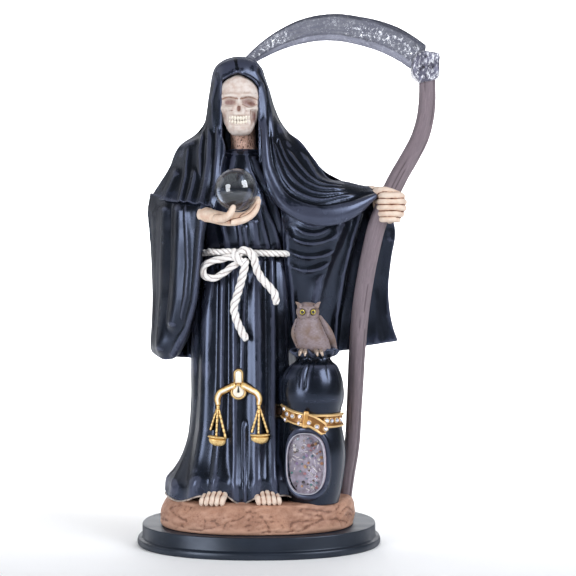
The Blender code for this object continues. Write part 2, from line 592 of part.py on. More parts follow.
SACK_MIDDLE = (39.2, -31.0)
SACK = [
    # level, half-width, sideways
    (19, 18.0, 0), (26, 20.2, -0.6), (38, 22.2, -0.6), (52, 22.7, 0.3), (64, 21.8, 0.2), (73, 20.4, -0.2), (79, 19.6, -0.9),
    (85, 20.6, -0.7), (93, 22.4, -0.6), (102, 22.2, -0.8), (110, 20.2, -0.6), (116, 16.6, 0.2), (119.6, 12.4, 0.6),
    (121.4, 11.4, 0.6), (124.0, 13.8, 0.6), (126.4, 15.4, 0.6), (126.8, 9.0, 0.6),
]
SACK_DEPTH = 0.96
BELT_LEVEL = 78.0
BELT_RISE = 6.0


def sack_radius(level):
    """The sack's half-width and sideways shift at a level."""
    return np.array([np.interp(level, [row[0] for row in SACK], [row[i] for row in SACK]) for i in (1, 2)])


def sack_ring(level, count, extra=0.0):
    """A ring round the sack at a level, extra outside its skin."""
    half, shift = sack_radius(level)
    t = np.linspace(0, 2 * math.pi, count, endpoint=False)
    return np.column_stack([
        SACK_MIDDLE[0] + shift + (half + extra) * np.cos(t),
        SACK_MIDDLE[1] + (half * SACK_DEPTH + extra) * np.sin(t),
        np.full(count, float(level)),
    ])


def sack(around, down):
    """A full sack, tied at the neck under a gathered frill and drawn in by its belt."""
    rows = along(SACK, down)
    rings = []
    t = np.linspace(0, 2 * math.pi, around, endpoint=False)
    for level, half, shift in rows:
        gather = np.clip((level - 108) / 12, 0, 1)
        frill = np.clip((level - 121) / 3, 0, 1)
        radius = half * (1 + 0.035 * gather * np.cos(9 * t + 0.6) + 0.10 * frill * np.cos(9 * t + 0.6))
        rings.append(np.column_stack([
            SACK_MIDDLE[0] + shift + radius * np.cos(t),
            SACK_MIDDLE[1] + radius * SACK_DEPTH * np.sin(t),
            level + 1.2 * frill * np.cos(9 * t + 2.0),
        ]))
    return stacked(rings)


def belt_level(turn):
    """The level of the belt's middle at an angle round the sack: it climbs to the left."""
    return BELT_LEVEL + BELT_RISE * ((1 - np.cos(turn)) / 2) ** 4


def belt():
    """The strap drawn round the sack."""
    count = 48
    t = np.linspace(0, 2 * math.pi, count, endpoint=False)
    half, thick = own(BELT_HEIGHT) / 2, own(BELT_THICKNESS)
    rings = []
    for up, out in ((-half, -4), (-half, thick), (half, thick), (half, -4)):
        ring = sack_ring(BELT_LEVEL, count, out + 0.9)
        ring[:, 2] = belt_level(t) + up
        rings.append(ring)
    points = np.concatenate(rings)
    index = np.arange(4 * count).reshape(4, count)
    faces = [
        (index[i, j], index[i, (j + 1) % count], index[(i + 1) % 4, (j + 1) % count], index[(i + 1) % 4, j])
        for i in range(4)
        for j in range(count)
    ]
    return points, faces


STRAP_END = [((34, -50.6, 80.2), 0.2), ((40.5, -52.2, 77.4), 0.0), ((47.5, -51.2, 73.8), 0.0)]


def strap_end():
    """The belt's loose end, lying over the front and pointing down to the right."""
    half, thick = own(BELT_HEIGHT) * 0.46, own(BELT_THICKNESS)
    middle = np.array([p for p, _ in STRAP_END])
    line = along(middle, 8)
    front = np.array([line + (0.35 * half * k, -1.4 - thick, half * k) for k in (1, 0, -1)])
    back = np.array([line + (0.35 * half * k, 3.0, half * k) for k in (1, 0, -1)])
    return between(front, back)


OWL = [
    # level, left, right, front, back
    (124.5, 31, 46, -42, -26), (128, 28.4, 49, -44, -23), (134, 26.6, 49.4, -45.6, -24), (140, 26.2, 48.4, -45.6, -25),
    (146, 27.0, 46.2, -45.2, -26), (151, 27.8, 44.8, -44.6, -27), (156, 27.6, 44.9, -44.4, -27), (160, 28.8, 43.4, -42.2, -28),
    (161.6, 33, 39.6, -38, -31),
]
OWL_EXTRAS = [
    [((28.9, -40, 159.6), 1.9), ((27.6, -39.6, 162.0), 0.8)],
    [((43.2, -40, 159.6), 1.9), ((44.6, -39.6, 162.0), 0.8)],
    [((36.0, -44.2, 154.6), 1.7), ((36.0, -46.2, 151.4), 0.9)],
    [((45, -31, 146), 4.6), ((49.5, -27, 136), 4.6), ((54.6, -23, 126.5), 2.4)],
    [((30.6, -44, 126.6), 2.2), ((29.4, -48, 124.6), 1.6)],
    [((34.0, -45, 126.4), 2.2), ((33.6, -49, 124.0), 1.6)],
    [((41.5, -44, 126.4), 2.2), ((42.5, -48, 124.4), 1.6)],
]


# The girdle and the scales

GIRDLE = [(-42, -8, 195), (-39.5, -19, 195), (-30, -27.5, 195.3), (-13, -30.5, 195.5), (6, -29.2, 195.2), (18.5, -24, 195), (23.5, -12, 195)]
GIRDLE_LOOP = [(-15, -34, 193), (-24, -34.5, 192.6), (-33, -34, 191.4), (-39.2, -33.4, 187.2), (-39, -33, 181), (-33.6, -33.5, 177.4), (-26.6, -34.5, 181.4), (-16, -35.5, 188)]
GIRDLE_TAILS = [
    [(-10, -35.5, 191), (-9.8, -35.5, 182), (-13.6, -36, 171.5), (-16.4, -36.5, 163), (-16.2, -36.8, 155), (-12.6, -37.2, 146), (-8.4, -37.6, 134.4)],
    [(-13, -34.5, 195.6), (-8.5, -36, 196.6), (-4.2, -35.6, 192.6), (-1.2, -34.8, 186), (1.4, -34.6, 179), (6.6, -34.8, 172.4), (11.2, -35, 166.6), (12.6, -35.2, 159.4)],
]
GIRDLE_KNOT = (-11.6, -33.6, 191.4)

SCALES_TAB = [(-13.8, 99), (-13.8, 108.4)]
SCALES_HUB = (-13.8, 98.2)
SCALES_HUB_RADIUS = 5.3
SCALES_ARMS = [
    [(-17, 102.6), (-24, 99.6), (-28.6, 95.4), (-28.8, 89.6)],
    [(-10.6, 102.6), (-4, 99.4), (0.2, 95.4), (0.9, 89.8)],
]
SCALES_PANS = [(-28.2, 66.8, 6.5, -0.5), (1.4, 68.0, 6.4, 0.2)]
SCALES_CHAINS = [
    [(-28.6, 88.4), (-33.2, 69.0)], [(-28.6, 88.4), (-29.6, 67.6)], [(-28.6, 88.4), (-23.2, 67.0)],
    [(1.1, 88.4), (-3.8, 69.2)], [(1.1, 88.4), (0.4, 68.4)], [(1.1, 88.4), (6.6, 68.6)],
]


def robe_front(x, level):
    """How far forward the robe's front lies, folds left out."""
    left, right, front, back = (np.interp(level, [row[0] for row in ROBE], [row[i] for row in ROBE]) for i in (1, 2, 3, 4))
    t = abs((x - (left + right) / 2) / ((right - left) / 2))
    return (front + back) / 2 - (back - front) / 2 * (1 - min(t, 0.98) ** 2.3) ** (1 / 2.3)


def scales():
    """The balance that lies on the skirt: a tab, a round dial, two arms and two hanging pans."""

    def on_skirt(x, level, proud):
        return (x, robe_front(x, level) - proud, level)

    hub_x, hub_level = SCALES_HUB
    turns = np.linspace(0, 2 * math.pi, 20, endpoint=False)
    rings = [
        np.array([on_skirt(hub_x, hub_level, depth) for _ in turns])
        + SCALES_HUB_RADIUS * size * np.column_stack([np.cos(turns), 0 * turns, np.sin(turns)])
        for depth, size in ((-3, 1.0), (3.6, 1.0), (4.6, 0.86), (4.2, 0.72))
    ]
    shells = [stacked(rings)]
    shells.append(tube([on_skirt(x, z, 2.6) for x, z in SCALES_TAB], 3.5, 10, 10))
    shells += [tube([on_skirt(x, z, 2.6) for x, z in arm], [1.9, 1.9, 1.8, 1.5], 16, 8) for arm in SCALES_ARMS]
    shells += [tube([on_skirt(x, z, 2.4) for x, z in chain], 0.8, 8, 6) for chain in SCALES_CHAINS]
    for x, level, size, lean in SCALES_PANS:
        depth = robe_front(x, level)
        pan = [
            oval(x, size * share, depth - 1.5 - size * 0.62 * share, depth + 3, level - drop, 16, 2.0, lean)
            for drop, share in ((0, 1.0), (1.2, 0.97), (3.6, 0.84), (5.4, 0.60), (6.3, 0.30))
        ]
        shells.append(stacked(pan))
    return shells


def girdle():
    """The rope round the waist, with its knot, its loop and its two tails."""
    size = own(ROPE_DIAMETER) / 2
    shells = [tube(GIRDLE, size, 30, 8), tube(GIRDLE_LOOP, size, 26, 8), egg(GIRDLE_KNOT, (5.6, 3.4, 5.2), 8, 12)]
    shells += [tube(tail, [size * 1.05] * (len(tail) - 1) + [size * 0.9], 26, 8) for tail in GIRDLE_TAILS]
    return shells


# Putting shells together


def add_mesh(name, points, faces, material):
    """A named object of its own, with its material."""
    mesh = bpy.data.meshes.new(name)
    mesh.from_pydata([tuple(p) for p in points], [], [tuple(int(i) for i in f) for f in faces])
    made = bmesh.new()
    made.from_mesh(mesh)
    bmesh.ops.remove_doubles(made, verts=made.verts, dist=1e-7)
    bmesh.ops.recalc_face_normals(made, faces=made.faces)
    made.to_mesh(mesh)
    made.free()
    mesh.materials.append(material)
    thing = bpy.data.objects.new(name, mesh)
    bpy.context.scene.collection.objects.link(thing)
    return thing


def helper(thing):
    """Marks a cutter: it isn't part of the statue."""
    thing.hide_render = True
    thing.display_type = "WIRE"
    return thing


def paint(name):
    """A plain material of the piece's own colour."""
    colour, roughness, metallic = COLOURS[name]
    material = bpy.data.materials.new(name)
    material.use_nodes = True
    shader = material.node_tree.nodes["Principled BSDF"]
    shader.inputs["Base Color"].default_value = (*colour, 1)
    shader.inputs["Roughness"].default_value = roughness
    shader.inputs["Metallic"].default_value = metallic
    return material


def outer_skin(thing):
    """Keeps the largest closed surface of a mesh, and drops the walls of voids inside it."""
    made = bmesh.new()
    made.from_mesh(thing.data)
    left = set(made.verts)
    groups = []
    while left:
        group, edge = set(), [left.pop()]
        while edge:
            vertex = edge.pop()
            group.add(vertex)
            near = {e.other_vert(vertex) for e in vertex.link_edges} & left
            left -= near
            edge.extend(near)
        groups.append(group)
    groups.sort(key=len)
    bmesh.ops.delete(made, geom=[v for g in groups[:-1] for v in g], context="VERTS")
    made.to_mesh(thing.data)
    made.free()


def evaluated(thing):
    """Replaces the object's mesh by what its modifiers make of it."""
    graph = bpy.context.evaluated_depsgraph_get()
    mesh = bpy.data.meshes.new_from_object(thing.evaluated_get(graph))
    thing.modifiers.clear()
    thing.data = mesh


def casting_shells():
    """Every shell that the casting is made of."""
    parts = [
        robe(72, 70),
        hood(80, 44),
        skull(48, 40),
        stacked(rings_of(NECK, 24, 8)),
        ground(96, 16),
        sack(72, 44),
        belt(),
        strap_end(),
        backed(draped(SLEEVE, SLEEVE_FOLDS, 44, 50)),
        backed(draped(SHOULDER, SHOULDER_FOLDS, 60, 40)),
        backed(draped(SWAG, SWAG_FOLDS, 60, 60, cross_folds=True)),
        backed(arm_drape(60, 60)),
        cloak_back(90, 60),
        stacked(rings_of(OWL, 24, 18, 2.0)),
        *[tube([p for p, _ in line], [r for _, r in line], 10, 8) for line in OWL_EXTRAS],
        *fist(),
        *open_hand(),
        *feet(),
        *scales(),
        *girdle(),
    ]
    return parts


def window_frame():
    """The middle of the sack's window on its skin, and its directions: across, out and up."""
    turn = math.radians(-106)
    half, shift = sack_radius(48.6)
    out = np.array((math.cos(turn), math.sin(turn), 0.0))
    middle = np.array((SACK_MIDDLE[0] + shift, SACK_MIDDLE[1], 48.6)) + out * half * SACK_DEPTH
    return middle, np.array((-out[1], out[0], 0.0)), out


def window_plug(spread, deep, proud, crown):
    """An oval plug set in the sack's side, spread outside the window's size all round."""
    middle, across, out = window_frame()
    count = 36
    t = np.linspace(0, 2 * math.pi, count, endpoint=False)
    power = 2 / 2.7
    c = np.sign(np.cos(t)) * np.abs(np.cos(t)) ** power
    s = np.sign(np.sin(t)) * np.abs(np.sin(t)) ** power
    wide, high = own(WINDOW_WIDTH) / 2 + spread, own(WINDOW_HEIGHT) / 2 + spread
    steps = [(-deep, 1.0), (proud, 1.0)]
    if crown:
        steps += [(proud + crown * 0.55, 0.88), (proud + crown * 0.9, 0.58), (proud + crown, 0.25)]
    rings = [
        middle + out * depth + np.outer(c * wide * share, across) + np.outer(s * high * share, (0, 0, 1))
        for depth, share in steps
    ]
    return stacked(rings)


WINDOW_SEAT = -1.4
BALL_SEAT = (-15.0, -51.0, 224.6)


def statue():
    """The casting: every shell made one skin, then cut for what fits in it."""
    points, faces, count = [], [], 0
    for shell_points, shell_faces in casting_shells():
        points.append(shell_points)
        faces += [tuple(i + count for i in face) for face in shell_faces]
        count += len(shell_points)
    body = add_mesh("statue", place(np.concatenate(points)), faces, paint("black_resin"))
    remesh = body.modifiers.new("one skin", "REMESH")
    remesh.mode = "VOXEL"
    remesh.voxel_size = VOXEL
    evaluated(body)
    outer_skin(body)
    body.data.calc_loop_triangles()
    thin = body.modifiers.new("fewer faces", "DECIMATE")
    thin.ratio = CASTING_TRIANGLES / len(body.data.loop_triangles)
    evaluated(body)
    return body


def cut(body, cutter):
    """Cuts a helper's shape out of the casting."""
    hole = body.modifiers.new(cutter.name, "BOOLEAN")
    hole.operation = "DIFFERENCE"
    hole.solver = "EXACT"
    hole.object = helper(cutter)


# The scythe's blade and its socket

BLADE_OUTER = [
    (119.6, -14.6, 343.0), (113, -12.5, 347.8), (102.5, -8.5, 355.6), (88.3, -3.5, 362.6), (74, 3, 367.6), (59.5, 9, 370.9),
    (44.9, 14, 371.3), (30.1, 19.5, 368.8), (15.2, 25, 362.6), (4, 29, 355.9), (-7.4, 32.5, 346.6), (-18, 36, 335.0),
]
BLADE_INNER = [
    (117, -14, 327.0), (110.2, -11.5, 328.6), (102.5, -8.5, 334), (88.3, -3.5, 342), (74, 3, 347.6), (59.5, 9, 351.5),
    (44.9, 14, 352.6), (30.1, 19.5, 351.0), (15.2, 25, 347.2), (2, 29.2, 341.6), (-8, 32.5, 337.0), (-18.6, 36, 333.6),
]
BLADE_SECTION = [(0.0, 0.62), (0.10, 1.0), (0.30, 0.92), (0.38, 0.52), (0.80, 0.36), (1.0, 0.14)]
SOCKET_OUTLINE = [
    # sideways, as a share of the socket's radius, and up, as a share of its length
    (-0.85, 0.97), (-0.24, 1.0), (0.99, 0.95), (1.12, 0.83), (1.04, 0.20), (0.60, 0.10), (-0.68, 0.0), (-1.29, 0.26),
    (-1.39, 0.45), (-1.29, 0.76),
]
SOCKET_EDGES = [(-1.0, 0.86), (-0.78, 1.0), (0.78, 1.0), (1.0, 0.86)]


def blade_shell():
    """The curved blade: thick along its back, thin along its inner edge."""
    down = 26
    outer, inner = along(BLADE_OUTER, down), along(BLADE_INNER, down)
    share, thickness = np.array(BLADE_SECTION).T
    middle = outer[:, None, :] + (inner - outer)[:, None, :] * share[None, :, None]
    grow = np.interp(np.linspace(0, 1, down), [0, 0.75, 1], [1.0, 0.9, 0.45])
    half = own(BLADE_THICKNESS) / 2 * thickness[None, :] * grow[:, None]
    face = np.cross(outer[-1] - outer[0], (0, 0, 1))
    face = face / np.linalg.norm(face)
    face = face if face[1] < 0 else -face
    return between(middle + face * half[..., None], middle - face * half[..., None])


def socket_shell():
    """The rough block that holds the blade on the handle's top."""
    top = np.array(HANDLE[-1])
    radius = handle_radius(1) + own(SOCKET_WALL + GAP)
    length, deep = own(SOCKET_LENGTH), own(SOCKET_DEPTH) / 2
    foot = top[2] + own(SOCKET_CAP) - length
    outline = np.array([(top[0] + radius * aside, 0.0, foot + length * up) for aside, up in SOCKET_OUTLINE])
    middle = outline.mean(axis=0)
    rings = [middle + (outline - middle) * size + (0, top[1] + deep * share, 0) for share, size in SOCKET_EDGES]
    return stacked(rings)


# The stones on the belt

STONES = [
    (18.4, 86.0), (20.6, 82.6), (19.8, 78.6), (24.2, 81.6), (29.4, 81.6), (28.9, 76.9), (35.8, 77.6),
    (41.1, 74.9), (46.7, 73.4), (47.2, 79.0), (51.6, 78.4), (55.0, 78.4), (57.6, 78.4),
]
STONE_SIDES = 8


def stone_shell(foot, out):
    """A cut stone: a low crown with a flat table, standing on its foot."""
    radius, high = own(STONE_DIAMETER) / 2, own(STONE_HEIGHT)
    across = np.cross(out, (0, 0, 1))
    across /= np.linalg.norm(across)
    up = np.cross(across, out)
    turns = np.linspace(0, 2 * math.pi, STONE_SIDES, endpoint=False)
    spokes = np.outer(np.cos(turns), across) + np.outer(np.sin(turns), up)
    return stacked([foot + out * high * rise + spokes * radius * size for rise, size in ((0, 1), (0.25, 1), (1, 0.52))])


def rest_on(surface, spot, out, radius):
    """Where a flat foot of a radius comes to rest on a surface, moved in along -out from far outside."""
    across = np.cross(out, (0, 0, 1))
    across /= np.linalg.norm(across)
    up = np.cross(across, out)
    far = 12 * UNIT
    start = Vector(spot + out * far)
    nearest = far
    for reach in (0.0, 0.5, 1.0):
        for turn in np.linspace(0, 2 * math.pi, 12, endpoint=False):
            aside = (across * math.cos(turn) + up * math.sin(turn)) * radius * reach
            hit = surface.ray_cast(start + Vector(aside), Vector(-out))
            if hit[0] is not None:
                nearest = min(nearest, hit[3])
    return spot + out * (far - nearest)


# The pieces


def board(material):
    """The oval board: an upright edge, a hollow moulding and a rounded foot."""
    rows = np.array(GROUND)
    wide = (rows[:, 2].max() - rows[:, 1].min()) / 2 * UNIT + BOARD_LEDGE
    deep = (rows[:, 4].max() - rows[:, 3].min()) / 2 * UNIT + BOARD_LEDGE * 0.78
    foot, reach, top = BOARD_FOOT_HEIGHT, BOARD_FOOT_REACH, BOARD_THICKNESS
    profile = [
        (0.0, reach * 0.8), (foot * 0.18, reach), (foot * 0.60, reach), (foot * 0.95, reach * 0.7), (foot * 1.12, 0.0),
        (top - reach * 0.25, 0.0), (top, -reach * 0.25),
    ]
    rings = [oval(0, wide + out, -(deep + out), deep + out, level, 52, 2.2) for level, out in profile]
    add_mesh("wood_base", *stacked(rings), material)


def casting_with_cuts(ball_middle, radii):
    """The casting, cut to take the ball, the handle and the window."""
    body = statue()
    clear = own(GAP) * CLEAR_SHARE
    seat = own(BALL_DIAMETER) / 2 + clear
    cutters = {
        "ball_cup": egg(ball_middle, [seat] * 3, BALL_RINGS, BALL_SIDES),
        "handle_slot": tube(HANDLE, radii + clear, HANDLE_RINGS, HANDLE_SIDES),
        "window_pocket": window_plug(clear, own(WINDOW_DEPTH) + clear, 20, 0),
        "level_underside": stacked([oval(0, 200, -200, 200, level, 8) for level in (-100, 0)]),
    }
    for name, (points, faces) in cutters.items():
        cut(body, add_mesh(name, place(points), faces, body.data.materials[0]))
    return body


def main():
    """Builds every piece."""
    for old in list(bpy.data.objects):
        bpy.data.objects.remove(old)
    radii = np.array([handle_radius(share) for share in np.linspace(0, 1, len(HANDLE))])
    ball_radius = own(BALL_DIAMETER) / 2
    ball_middle = np.array(BALL_SEAT) + (0, 0, ball_radius)

    board(paint("black_lacquer"))
    body = casting_with_cuts(ball_middle, radii)

    points, faces = tube(HANDLE, radii, HANDLE_RINGS, HANDLE_SIDES, domed=False)
    handle = add_mesh("scythe_handle", place(points), faces, paint("painted_wood"))

    silver = paint("silver_paint")
    points, faces = blade_shell()
    scythe = add_mesh("scythe_blade", place(points), faces, silver)
    points, faces = socket_shell()
    collar = add_mesh("socket_collar", place(points), faces, silver)
    join = scythe.modifiers.new("collar", "BOOLEAN")
    join.operation = "UNION"
    join.solver = "EXACT"
    join.object = helper(collar)
    points, faces = tube(HANDLE, radii + own(GAP), HANDLE_RINGS, HANDLE_SIDES)
    cut(scythe, add_mesh("socket_hole", place(points), faces, silver))

    points, faces = egg(ball_middle, [ball_radius] * 3, BALL_RINGS, BALL_SIDES)
    add_mesh("crystal_ball", place(points), faces, paint("clear_glass"))
    points, faces = window_plug(0, own(WINDOW_DEPTH), WINDOW_SEAT, own(WINDOW_CROWN))
    add_mesh("sack_window", place(points), faces, paint("clear_resin"))

    skin = BVHTree.FromObject(body, bpy.context.evaluated_depsgraph_get())
    glass = paint("cut_glass")
    for number, (x, level) in enumerate(STONES, 1):
        half, shift = sack_radius(level)
        turn = -math.acos(np.clip((x - SACK_MIDDLE[0] - shift) / (half + 1.5), -0.97, 0.97))
        out = np.array((math.cos(turn), math.sin(turn), 0.0))
        spot = np.array((SACK_MIDDLE[0] + shift, SACK_MIDDLE[1], level)) + out * half
        foot = rest_on(skin, place(spot), out, STONE_DIAMETER / 2) + out * GAP
        foot = (foot - (0, 0, FOOT_LEVEL)) / UNIT
        points, faces = stone_shell(foot, out)
        add_mesh(f"rhinestone_{number:02d}", place(points), faces, glass)


main()
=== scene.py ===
"""The looks of the santa muerte statue: draped black casting, bone, rope, gold, glass and an oval board.

Metres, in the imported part's own frame. The casting's points are written in thousandths of a 0.340 m
figure, from its underside up, and place() puts them on the board.
"""

import math

import bmesh
import bpy
import numpy as np
from mathutils import Matrix, Vector


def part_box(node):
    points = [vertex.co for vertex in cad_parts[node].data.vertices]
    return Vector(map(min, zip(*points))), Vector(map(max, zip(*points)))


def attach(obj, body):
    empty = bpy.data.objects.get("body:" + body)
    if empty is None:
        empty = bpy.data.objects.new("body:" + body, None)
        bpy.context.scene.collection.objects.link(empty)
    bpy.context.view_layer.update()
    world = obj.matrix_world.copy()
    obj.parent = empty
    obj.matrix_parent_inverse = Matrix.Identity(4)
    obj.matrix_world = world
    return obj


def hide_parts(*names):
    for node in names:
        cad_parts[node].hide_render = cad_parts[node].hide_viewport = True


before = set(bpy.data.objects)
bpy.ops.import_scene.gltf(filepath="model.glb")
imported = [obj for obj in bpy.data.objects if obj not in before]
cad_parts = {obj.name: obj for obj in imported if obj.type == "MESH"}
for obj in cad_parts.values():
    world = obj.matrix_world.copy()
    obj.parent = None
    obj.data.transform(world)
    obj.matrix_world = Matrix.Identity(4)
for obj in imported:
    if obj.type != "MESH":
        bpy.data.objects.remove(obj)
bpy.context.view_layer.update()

# Driving dimensions, in metres, as the solids have them, but for a belt and a rope a little larger.
FIGURE_HEIGHT = 0.340
BOARD_THICKNESS = 0.015
BOARD_LEDGE = 0.0145
BOARD_FOOT_HEIGHT = 0.0050
BOARD_FOOT_REACH = 0.0036
BALL_DIAMETER = 0.030
HANDLE_DIAMETER = 0.0128
BLADE_THICKNESS = 0.0044
SOCKET_WALL = 0.0021
SOCKET_LENGTH = 0.0234
SOCKET_CAP = 0.0117
SOCKET_DEPTH = 0.0190
WINDOW_WIDTH = 0.0270
WINDOW_HEIGHT = 0.0420
WINDOW_DEPTH = 0.0060
WINDOW_CROWN = 0.0022
STONE_DIAMETER = 0.0031
BELT_HEIGHT = 0.0088
BELT_THICKNESS = 0.0016
ROPE_DIAMETER = 0.0050
GAP = 0.0003

# How many triangles each dense skin is thinned to, so that the whole stays under a million.
TRIANGLES = {
    "cloak": 125000, "robe": 125000, "raised_sleeve": 60000, "lowered_sleeve": 60000, "skull": 52000,
    "open_hand": 30000, "fist": 30000, "toes": 10000, "scales": 44000, "scales_contact_shadow": 9000, "owl": 34000,
    "socket": 15000, "ground": 62000, "rope_ring": 120,
}

UNIT = FIGURE_HEIGHT / 340
FOOT_LEVEL = BOARD_THICKNESS + GAP


def place(points):
    """The casting's own points as places in the model, in metres."""
    placed = np.array(points, float) * UNIT
    placed[..., 2] += FOOT_LEVEL
    return placed


def own(length):
    """A real length in the casting's own units."""
    return length / UNIT


# Curves and surfaces


def along(points, count):
    """Evenly spaced points on a smooth curve through the given ones."""
    p = np.asarray(points, float)
    t = np.concatenate([[0], np.cumsum(np.linalg.norm(np.diff(p.reshape(len(p), -1), axis=0), axis=1))])
    slope = np.gradient(p, t, axis=0)
    s = np.linspace(0, t[-1], count)
    i = np.clip(np.searchsorted(t, s, side="right") - 1, 0, len(t) - 2)
    wide = (-1,) + (1,) * (p.ndim - 1)
    h = (t[i + 1] - t[i]).reshape(wide)
    k = ((s - t[i]) / (t[i + 1] - t[i])).reshape(wide)
    k2, k3 = k * k, k * k * k
    return (
        (2 * k3 - 3 * k2 + 1) * p[i]
        + (k3 - 2 * k2 + k) * h * slope[i]
        + (3 * k2 - 2 * k3) * p[i + 1]
        + (k3 - k2) * h * slope[i + 1]
    )


def loft(rows, across, down):
    """A grid of points, down x across, on a smooth surface through rows of points."""
    return along(np.array([along(row, across) for row in rows]), down)


def ease(t):
    """0 to 1, slow at both ends."""
    t = np.clip(t, 0, 1)
    return t * t * (3 - 2 * t)


def fade(t, start, end, soft):
    """1 between start and end, easing to 0 over soft outside them."""
    return ease(np.minimum((t - start + soft) / soft, (end + soft - t) / soft))


def ridges(s, t, table, soft):
    """The height of folds across s that run along t: (width, height, sharpness, [(t, s), ...]).

    Where two folds meet the higher one wins, which leaves a crease between them."""
    height = np.zeros(np.broadcast(s, t).shape)
    for width, high, sharp, path in table:
        ts, ss = np.array(sorted(path)).T
        reach = np.abs((s - np.interp(t, ts, ss)) / width) ** sharp
        height = np.maximum(height, high * np.exp(-reach) * fade(t, ts[0], ts[-1], soft))
    return height


def normals(grid):
    """Unit normals of a grid of points, turned to face the viewer's side, -Y."""
    n = np.cross(np.gradient(grid, axis=1), np.gradient(grid, axis=0))
    n /= np.linalg.norm(n, axis=2, keepdims=True) + 1e-9
    return -n if n[..., 1].mean() > 0 else n


def unit_grid(down, across):
    """(u, v), each from 0 to 1, across and down a grid."""
    v, u = np.meshgrid(np.linspace(0, 1, down), np.linspace(0, 1, across), indexing="ij")
    return u, v


def rough(points, grain, seed, octaves=4):
    """A smooth random value for each point, about -1 to 1: waves in many directions."""
    random = np.random.default_rng(seed)
    total = np.zeros(points.shape[:-1])
    for octave in range(octaves):
        for _ in range(6):
            direction = random.normal(size=3)
            direction *= 6.3 * (2**octave) / (grain * np.linalg.norm(direction))
            total += np.sin(points @ direction + random.uniform(0, 6.3)) * 0.5**octave
    return total / 4.6


# Shells: each is a closed mesh as (points, faces)


def between(front, back):
    """The closed shell between a front grid and a back grid of the same size."""
    down, across = front.shape[:2]
    n = down * across
    index = np.arange(n).reshape(down, across)
    quads = np.stack([index[:-1, :-1], index[:-1, 1:], index[1:, 1:], index[1:, :-1]], axis=-1).reshape(-1, 4)
    rim = np.concatenate([index[0, :-1], index[:-1, -1], index[-1, :0:-1], index[:0:-1, 0]])
    after = np.roll(rim, -1)
    faces = np.concatenate([quads, quads[:, ::-1] + n, np.stack([after, rim, rim + n, after + n], axis=-1)])
    return np.concatenate([front.reshape(-1, 3), back.reshape(-1, 3)]), faces.tolist()


def stacked(rings):
    """The closed shell through a stack of rings, each a closed loop with as many points."""
    rings = np.asarray(rings, float)
    down, around = rings.shape[:2]
    index = np.arange(down * around).reshape(down, around)
    after = np.roll(index, -1, axis=1)
    quads = np.stack([index[:-1], after[:-1], after[1:], index[1:]], axis=-1).reshape(-1, 4)
    return rings.reshape(-1, 3), [*quads.tolist(), index[0, ::-1].tolist(), index[-1].tolist()]


def spine(path, radii, count):
    """Evenly spaced middles, radii, and two directions across, along a smooth path."""
    path = np.asarray(path, float)
    radii = np.broadcast_to(np.asarray(radii, float), len(path))
    line = along(np.column_stack([path, radii]), count)
    middle = line[:, :3]
    ahead = np.gradient(middle, axis=0)
    ahead /= np.linalg.norm(ahead, axis=1, keepdims=True) + 1e-9
    side = np.cross(ahead[0], (0, 0, 1) if abs(ahead[0][2]) < 0.8 else (1, 0, 0))
    sides = []
    for direction in ahead:
        side = side - direction * (side @ direction)
        side = side / np.linalg.norm(side)
        sides.append(side)
    sides = np.array(sides)
    return middle, line[:, 3], ahead, sides, np.cross(ahead, sides)


def tube(path, radii, count, around=16, domed=True, flat=1.0):
    """A round rod along a smooth path, with domed or flat ends, pressed flat across one way."""
    middle, radius, ahead, side, other = spine(path, radii, count)
    turns = np.linspace(0, 2 * math.pi, around, endpoint=False)
    dome = np.linspace(0.08, 1, 6, endpoint=False) * math.pi / 2 if domed else np.array([])
    stations = [(0, -math.cos(a), math.sin(a)) for a in dome]
    stations += [(i, 0.0, 1.0) for i in range(count)]
    stations += [(count - 1, math.cos(a), math.sin(a)) for a in dome[::-1]]
    rings = []
    for i, out, size in stations:
        spokes = np.outer(np.cos(turns), side[i]) * flat + np.outer(np.sin(turns), other[i])
        rings.append(middle[i] + radius[i] * (ahead[i] * out + spokes * size))
    return stacked(rings)


def twisted(path, radius, pitch, strands=3, count=120, start=0.0, ends=0.75):
    """A rope of strands laid round a smooth path."""
    middle, size, _, side, other = spine(path, radius, count)
    step = np.concatenate([[0], np.cumsum(np.linalg.norm(np.diff(middle, axis=0), axis=1))])
    taper = np.interp(np.linspace(0, 1, count), [0, 0.04, 0.96, 1], [ends, 1, 1, ends])
    shells = []
    for strand in range(strands):
        turn = start + 2 * math.pi * (strand / strands + step / pitch)
        reach = (size * 0.50 * taper)[:, None]
        centre = middle + reach * (np.cos(turn)[:, None] * side + np.sin(turn)[:, None] * other)
        shells.append(tube(centre, size * 0.56 * taper, count, 12))
    return shells


def egg(centre, radii, rings=24, around=32):
    """An ellipsoid."""
    angles = np.linspace(0.03, math.pi - 0.03, rings)[:, None]
    turns = np.linspace(0, 2 * math.pi, around, endpoint=False)[None, :]
    unit = np.stack([np.sin(angles) * np.cos(turns), np.sin(angles) * np.sin(turns),
        np.cos(angles) + 0 * turns], axis=-1)
    return stacked(np.asarray(centre, float) + unit * np.asarray(radii, float))


def oval(middle_x, half_width, front, back, level, count, power=2.2, lean=0.0):
    """A level ring: an oval from front to back, squarer as power grows."""
    t = np.linspace(0, 2 * math.pi, count, endpoint=False)
    c, s = np.cos(t), np.sin(t)
    x = middle_x + half_width * np.sign(c) * np.abs(c) ** (2 / power)
    y = (front + back) / 2 + (back - front) / 2 * np.sign(s) * np.abs(s) ** (2 / power)
    return np.column_stack([x, y, np.full(count, level) + lean * c])


def rings_of(table, count, down, power=2.2):
    """Level rings read from a smooth curve through (level, left, right, front, back) rows."""
    return np.array([
        oval((left + right) / 2, (right - left) / 2, front, back, level, count, power)
        for level, left, right, front, back in along(table, down)
    ])


# Making pieces


